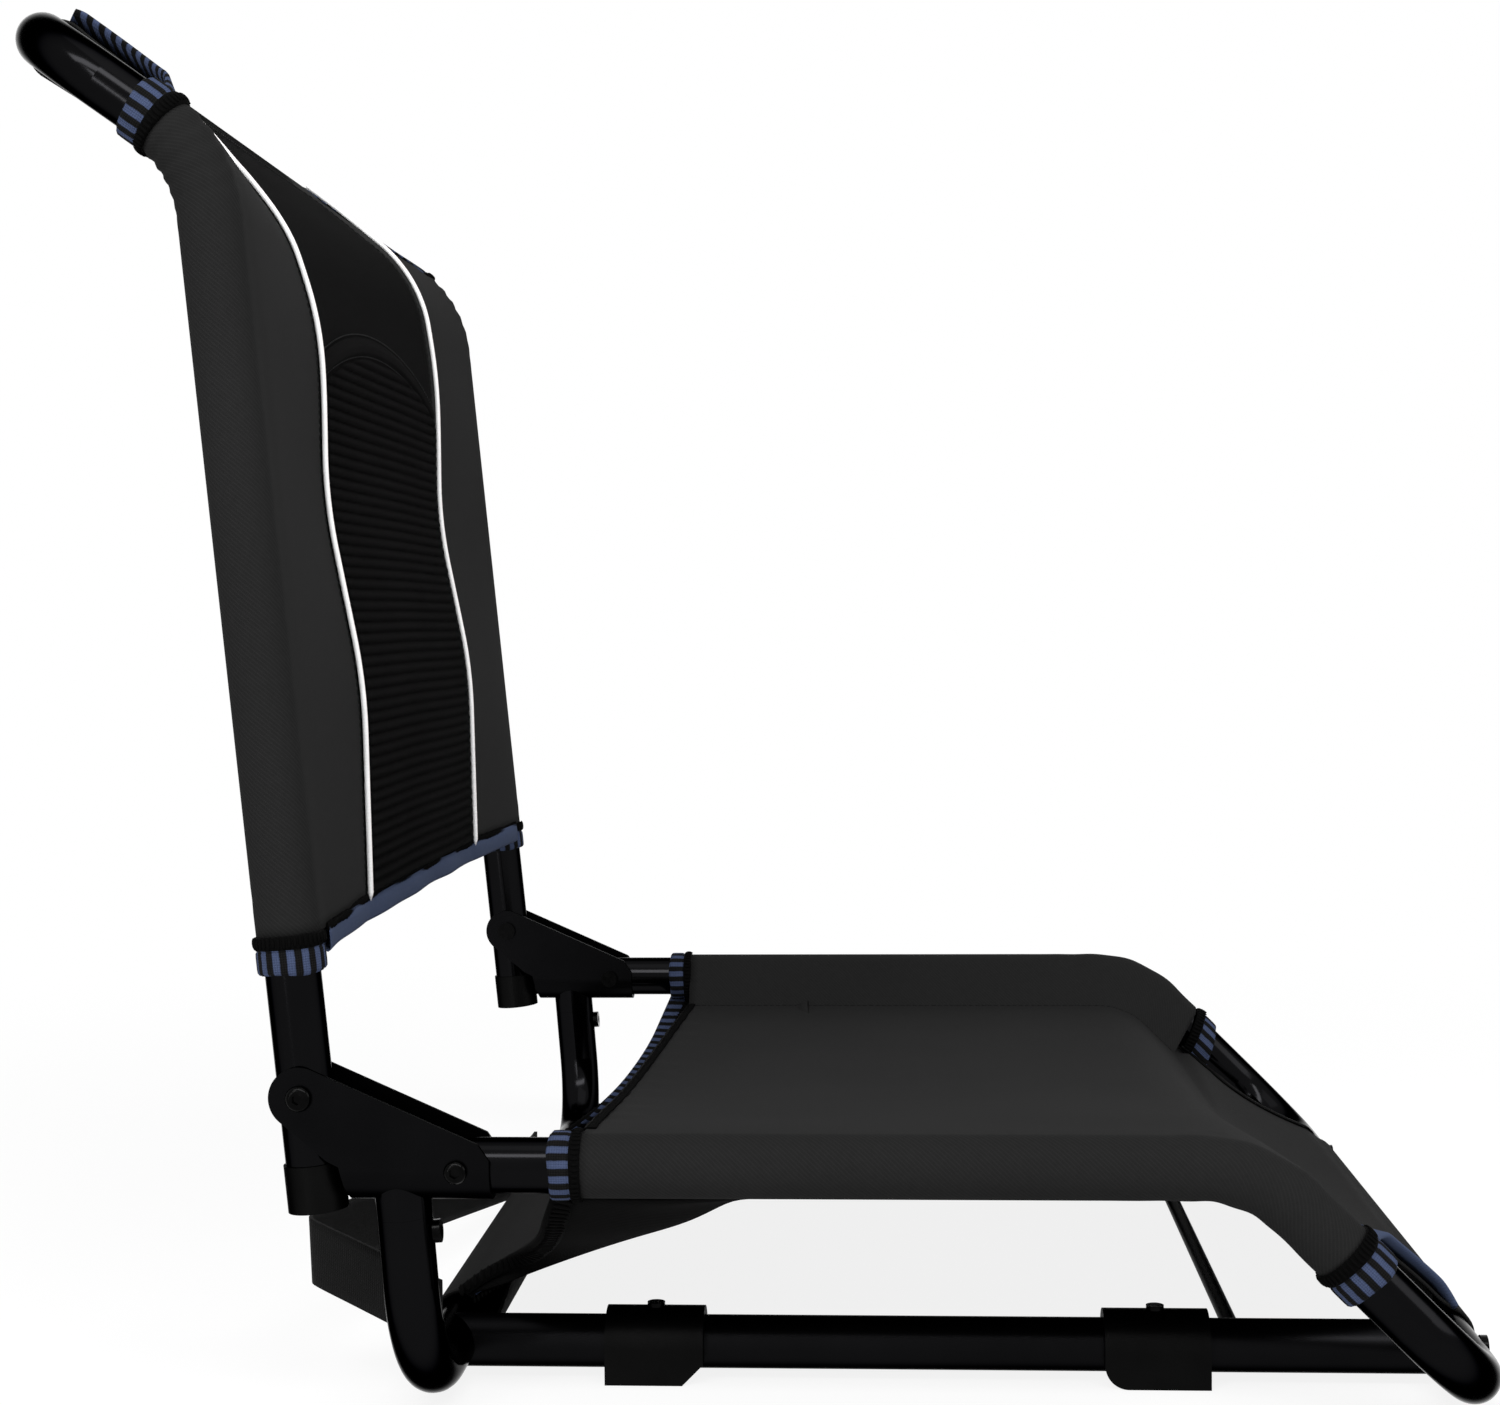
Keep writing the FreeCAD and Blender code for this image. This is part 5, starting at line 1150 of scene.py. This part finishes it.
def makeFlap():
    look, t = flapLook, tubes
    share = np.linspace(-1, 1, 61)
    along = np.linspace(look["length"] - 1.0, 14, 40)
    x = flapEdge(along)[:, None] * share[None, :]
    sagging = 3.0 * np.sin(np.pi * np.clip(along / look["length"], 0, 1))[:, None] * (1 - share[None, :] ** 2)
    tuck = look["tuck"] * ease((np.abs(x) - 175) / 45) * ease((along[:, None] - 85) / 55)
    sheet = onFlap(x, along[:, None], tuck - sagging + 0.4 * ripple(x / 40, along[:, None] / 30, 101))
    wrap = np.radians(np.linspace(35, -215, 26))
    way = unit(np.array(look["top"]) - np.array(look["foot"]))
    barAhead = t["rearBarAhead"] + t["sleeve"] * (way[0] * np.sin(wrap) - way[1] * np.cos(wrap))
    barHeight = t["barZ"] + t["sleeve"] * (way[1] * np.sin(wrap) + way[0] * np.cos(wrap))
    hem = joined(look["hemHalf"] * share[None, :], t["hingeY"] - barAhead[:, None], barHeight[:, None])
    hem = np.concatenate([hem, onFlap(look["hemHalf"] * share[None, :], np.full((1, 1), 24.0), -1.8)])
    grids = [np.concatenate([sheet, hem])]
    tapes, tapeOuts, tapeInto, seams, inner = [], [], [], [], []
    wallTop = smoothLine([(px, t["hingeY"] - ahead, height) for px, ahead, height in look["wall"]], 40)
    for side in (-1, 1):
        low = sheet[:, 0] if side < 0 else sheet[:, -1]
        top = wallTop * np.array([-side, 1, 1])
        lift = np.linspace(0, 1, 9)[None, :, None]
        bulge = np.sin(np.pi * lift) * np.array([side * 2.0, 0, -1.0])[None, None, :]
        wall = low[:, None, :] * (1 - lift) + top[:, None, :] * lift + bulge
        grids.append(wall)
        into = unit(wall[:, -2] - wall[:, -1])
        heading = unit(np.gradient(top, axis=0))
        outs = unit(np.cross(heading, into)) * side
        outs = outs * np.sign(np.sum(outs * np.array([side, 0, -0.3]), 1))[:, None]
        tapes.append(top + outs * 0.3)
        tapeOuts.append(outs)
        tapeInto.append(into)
        seams.append((top + into * 4.2 + outs * 1.7, outs))
        inner.append((top + into * 10.0 - outs * 2.2, -outs))
    # the sheet's and walls' own faces carry the painted shade copy; the thickened shell's opposite face takes the side
    # cloth
    flap = gridPiece("underFlap", grids, None, [flapPaintedShade, sideCloth])
    thicken(flap, look["thick"]).modifiers[0].material_offset = 1
    settle(flap, "base", "flap_cloth", "seat_underflap")
    foldedTape("underFlapTapes", tapes, tapeOuts, tapeInto, flapTapeLook, overlockBlack, "base", "seat_underflap",
               stripeTape)
    beads("underFlapOverlock", seams, dict(overlockLook, across=7.6, height=1.0, pitch=3.4, along=2.5),
          "base", "binding_cloth")
    beads("underFlapInnerOverlock", inner, dict(overlockLook, across=4.4, height=1.0, seed=9), "base", "binding_cloth")


makeFlap()
print("under flap made")


# carry strap: webbing on edge, from inside the near leg, round behind it, to the back of the rear hem
strapLook = {"width": 25.0, "thick": 1.5, "columns": 9, "sway": 1.6,
             "route": [(-232.6, 46.5, 27.0), (-229.0, 42.0, 27.5), (-205.0, 10.0, 34.5), (-191.0, -9.0, 38.5),
                       (-187.0, -11.5, 39.0), (-180.0, -11.5, 38.5), (-130.0, -5.0, 34.0), (-60.0, 4.5, 26.5),
                       (20.0, 15.0, 17.0), (90.0, 24.0, 8.5), (118.0, 26.8, 5.5), (130.0, 27.2, 5.0),
                       (142.0, 27.2, 5.0)]}


def makeStrap():
    look = strapLook
    line = smoothLine([(px, tubes["hingeY"] - ahead, low) for px, ahead, low in look["route"]], 240)
    share = np.linspace(0, 1, look["columns"])
    step = distances(line)
    free = np.sin(np.pi * step / step[-1])
    sway = look["sway"] * (free * np.sin(step / 47.0))[:, None] * (share - 0.5)[None, :]
    grid = line[:, None, :] + joined(0.0, sway, look["width"] * share[None, :])
    marks = joined((share * look["width"])[None, :], step[:, None])
    strap = gridPiece("carryStrap", [grid], None, [webbing], marks=[marks])
    thicken(strap, look["thick"], 0.0)
    settle(strap, "base", "webbing", "carry_strap")


makeStrap()
print("carry strap made")


# sewing along the seams
def makeStitches():
    seat, back = [], []
    s = np.linspace(104, slopeAt(38.0), 120)
    seat.append(lineOn(onSeat, np.full_like(s, 221.0), s, seatRise(221.0) + 0.1))
    up = np.linspace(60, headAt(66.0), 150)
    for side in (-1, 1):
        beside = np.full_like(up, side * (backLook["seam"] + 2.6))
        back.append(lineOn(onBack, beside, up, sideRise(beside, up) + 0.1))
    domeX = np.linspace(-119, 119, 70)
    for below in (-1.4, padLook["band"]):
        domeS = domeAt(domeX) - below
        back.append(lineOn(onBack, domeX, domeS, panelRise(domeS) + (0.2 if below < 0 else 0.9)))
    topX = np.linspace(-188, 188, 110)
    topS = np.full_like(topX, headAt(67.5))
    back.append(lineOn(onBack, topX, topS, backRise(topX, topS) + 0.1))
    beads("seatStitches", seat, stitchLook, "base", "side_cloth")
    beads("backStitches", back, stitchLook, "backrest", "side_cloth")


makeStitches()
print("stitches made")

# finishes of the rigid pieces
rigid = {
    "framePaint": (framePaint, ["seat_frame_tube", "rear_leg_tube", "back_frame_tube", "leg_spigots"]),
    "railPaint": (railPaint, ["base_rail_right", "base_rail_left", "cross_rod"]),
    "bracketPaint": (bracketPaint, ["hinge_bracket_right", "hinge_bracket_left"]),
    "fastenerBlack": (fastenerBlack, ["base_rail_bolts", "leg_screws", "hinge_screws", "hinge_barrels", "rail_screws",
                                      "rail_barrels", "foot_screws"]),
    "plasticBlack": (plasticBlack, ["base_rail_plugs", "hinge_bushes", "rail_end_plugs", "foot_front_right",
                                    "foot_front_left", "foot_rear_right", "foot_rear_left", "back_tube_caps"]),
}
for finish, names in rigid.values():
    for name in names:
        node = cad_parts[name]
        node.data.materials.clear()
        node.data.materials.append(finish)


# floor, light and camera
studio = {"floorColour": (0.94, 0.94, 0.94, 1.0), "floorSize": 14.0, "fill": 0.55, "clear": (0.35, 1.1), "glow": 0.86}


def makeStage():
    floor = Finish("paleFloor")
    where = floor.node("ShaderNodeTexCoord", out=3)
    away = floor.node("ShaderNodeVectorMath", {"operation": "LENGTH"}, {0: where}, out=1)
    grain = floor.spots(40.0, 3.0)
    plain = floor.node("ShaderNodeBsdfPrincipled", None, {
        "Base Color": studio["floorColour"], "Roughness": 0.7 + 0.1 * (grain - 0.5), "Specular IOR Level": 0.1})
    bright = floor.node("ShaderNodeEmission", None, {"Color": (1, 1, 1, 1), "Strength": 1.0})
    far = floor.node("ShaderNodeMapRange", {"interpolation_type": "SMOOTHSTEP"},
                     {0: away, 1: studio["clear"][0], 2: studio["clear"][1], 3: studio["glow"], 4: 1.0})
    floor.close(floor.node("ShaderNodeMixShader", None, {0: floor.backdrop() * far, 1: plain, 2: bright}))
    half = studio["floorSize"] / 2
    mesh = bpy.data.meshes.new("floor")
    mesh.from_pydata([(-half, -half, 0), (half, -half, 0), (half, half, 0), (-half, half, 0)], [], [(0, 1, 2, 3)])
    mesh.materials.append(floor.data)
    plane = addObject("floor", mesh)

    sky = Finish("studioSky", True)
    back = sky.node("ShaderNodeBackground", None, {
        "Color": (1, 1, 1, 1), "Strength": studio["fill"] + (1 - studio["fill"]) * sky.backdrop()})
    bpy.context.scene.world = sky.close(back)


def makeLamp(name, place, aim, width, height, power):
    lamp = bpy.data.lights.new(name, "AREA")
    lamp.shape = "RECTANGLE"
    lamp.size = width
    lamp.size_y = height
    lamp.energy = power
    holder = addObject(name, lamp)
    holder.location = place
    holder.rotation_euler = (Vector(aim) - Vector(place)).to_track_quat("-Z", "Y").to_euler()


photoCamera = {"place": (-1.1417, -0.0529, 0.2909), "yaw": -0.0588, "pitch": 0.0339, "roll": -0.0089,
               "focal": 2560.1, "frameWidth": 1500.0, "sensor": 36.0}


def makeCamera():
    look = photoCamera
    forward = Vector((math.cos(look["pitch"]) * math.cos(look["yaw"]), -math.cos(look["pitch"]) * math.sin(look["yaw"]),
                      -math.sin(look["pitch"])))
    right = Vector((-math.sin(look["yaw"]), -math.cos(look["yaw"]), 0))
    up = right.cross(forward)
    rolledRight = right * math.cos(look["roll"]) + up * math.sin(look["roll"])
    rolledUp = up * math.cos(look["roll"]) - right * math.sin(look["roll"])
    data = bpy.data.cameras.new("photoCamera")
    data.sensor_width = look["sensor"]
    data.lens = look["sensor"] * look["focal"] / look["frameWidth"]
    data.clip_start, data.clip_end = 0.02, 60.0
    camera = addObject("photoCamera", data)
    turned = Matrix((rolledRight, rolledUp, -forward)).transposed().to_4x4()
    camera.matrix_world = Matrix.Translation(look["place"]) @ turned
    bpy.context.scene.camera = camera


makeStage()
makeLamp("topSoftbox", (-0.3, -0.2, 1.9), (0, 0, 0.2), 1.4, 1.2, 5.0)
makeLamp("nearStrip", (-1.25, 0.0, 1.35), (0, 0, 0.12), 2.0, 0.34, 28.0)
makeLamp("rearStrip", (-1.5, 0.72, 0.55), (0, 0.1, 0.25), 0.10, 1.1, 5.5)
makeLamp("frontSoftbox", (-0.5, -1.9, 0.9), (0, 0, 0.2), 1.2, 0.9, 12.0)
makeCamera()
bpy.context.scene.view_settings.view_transform = "Standard"
print("stage, lamps and camera set")
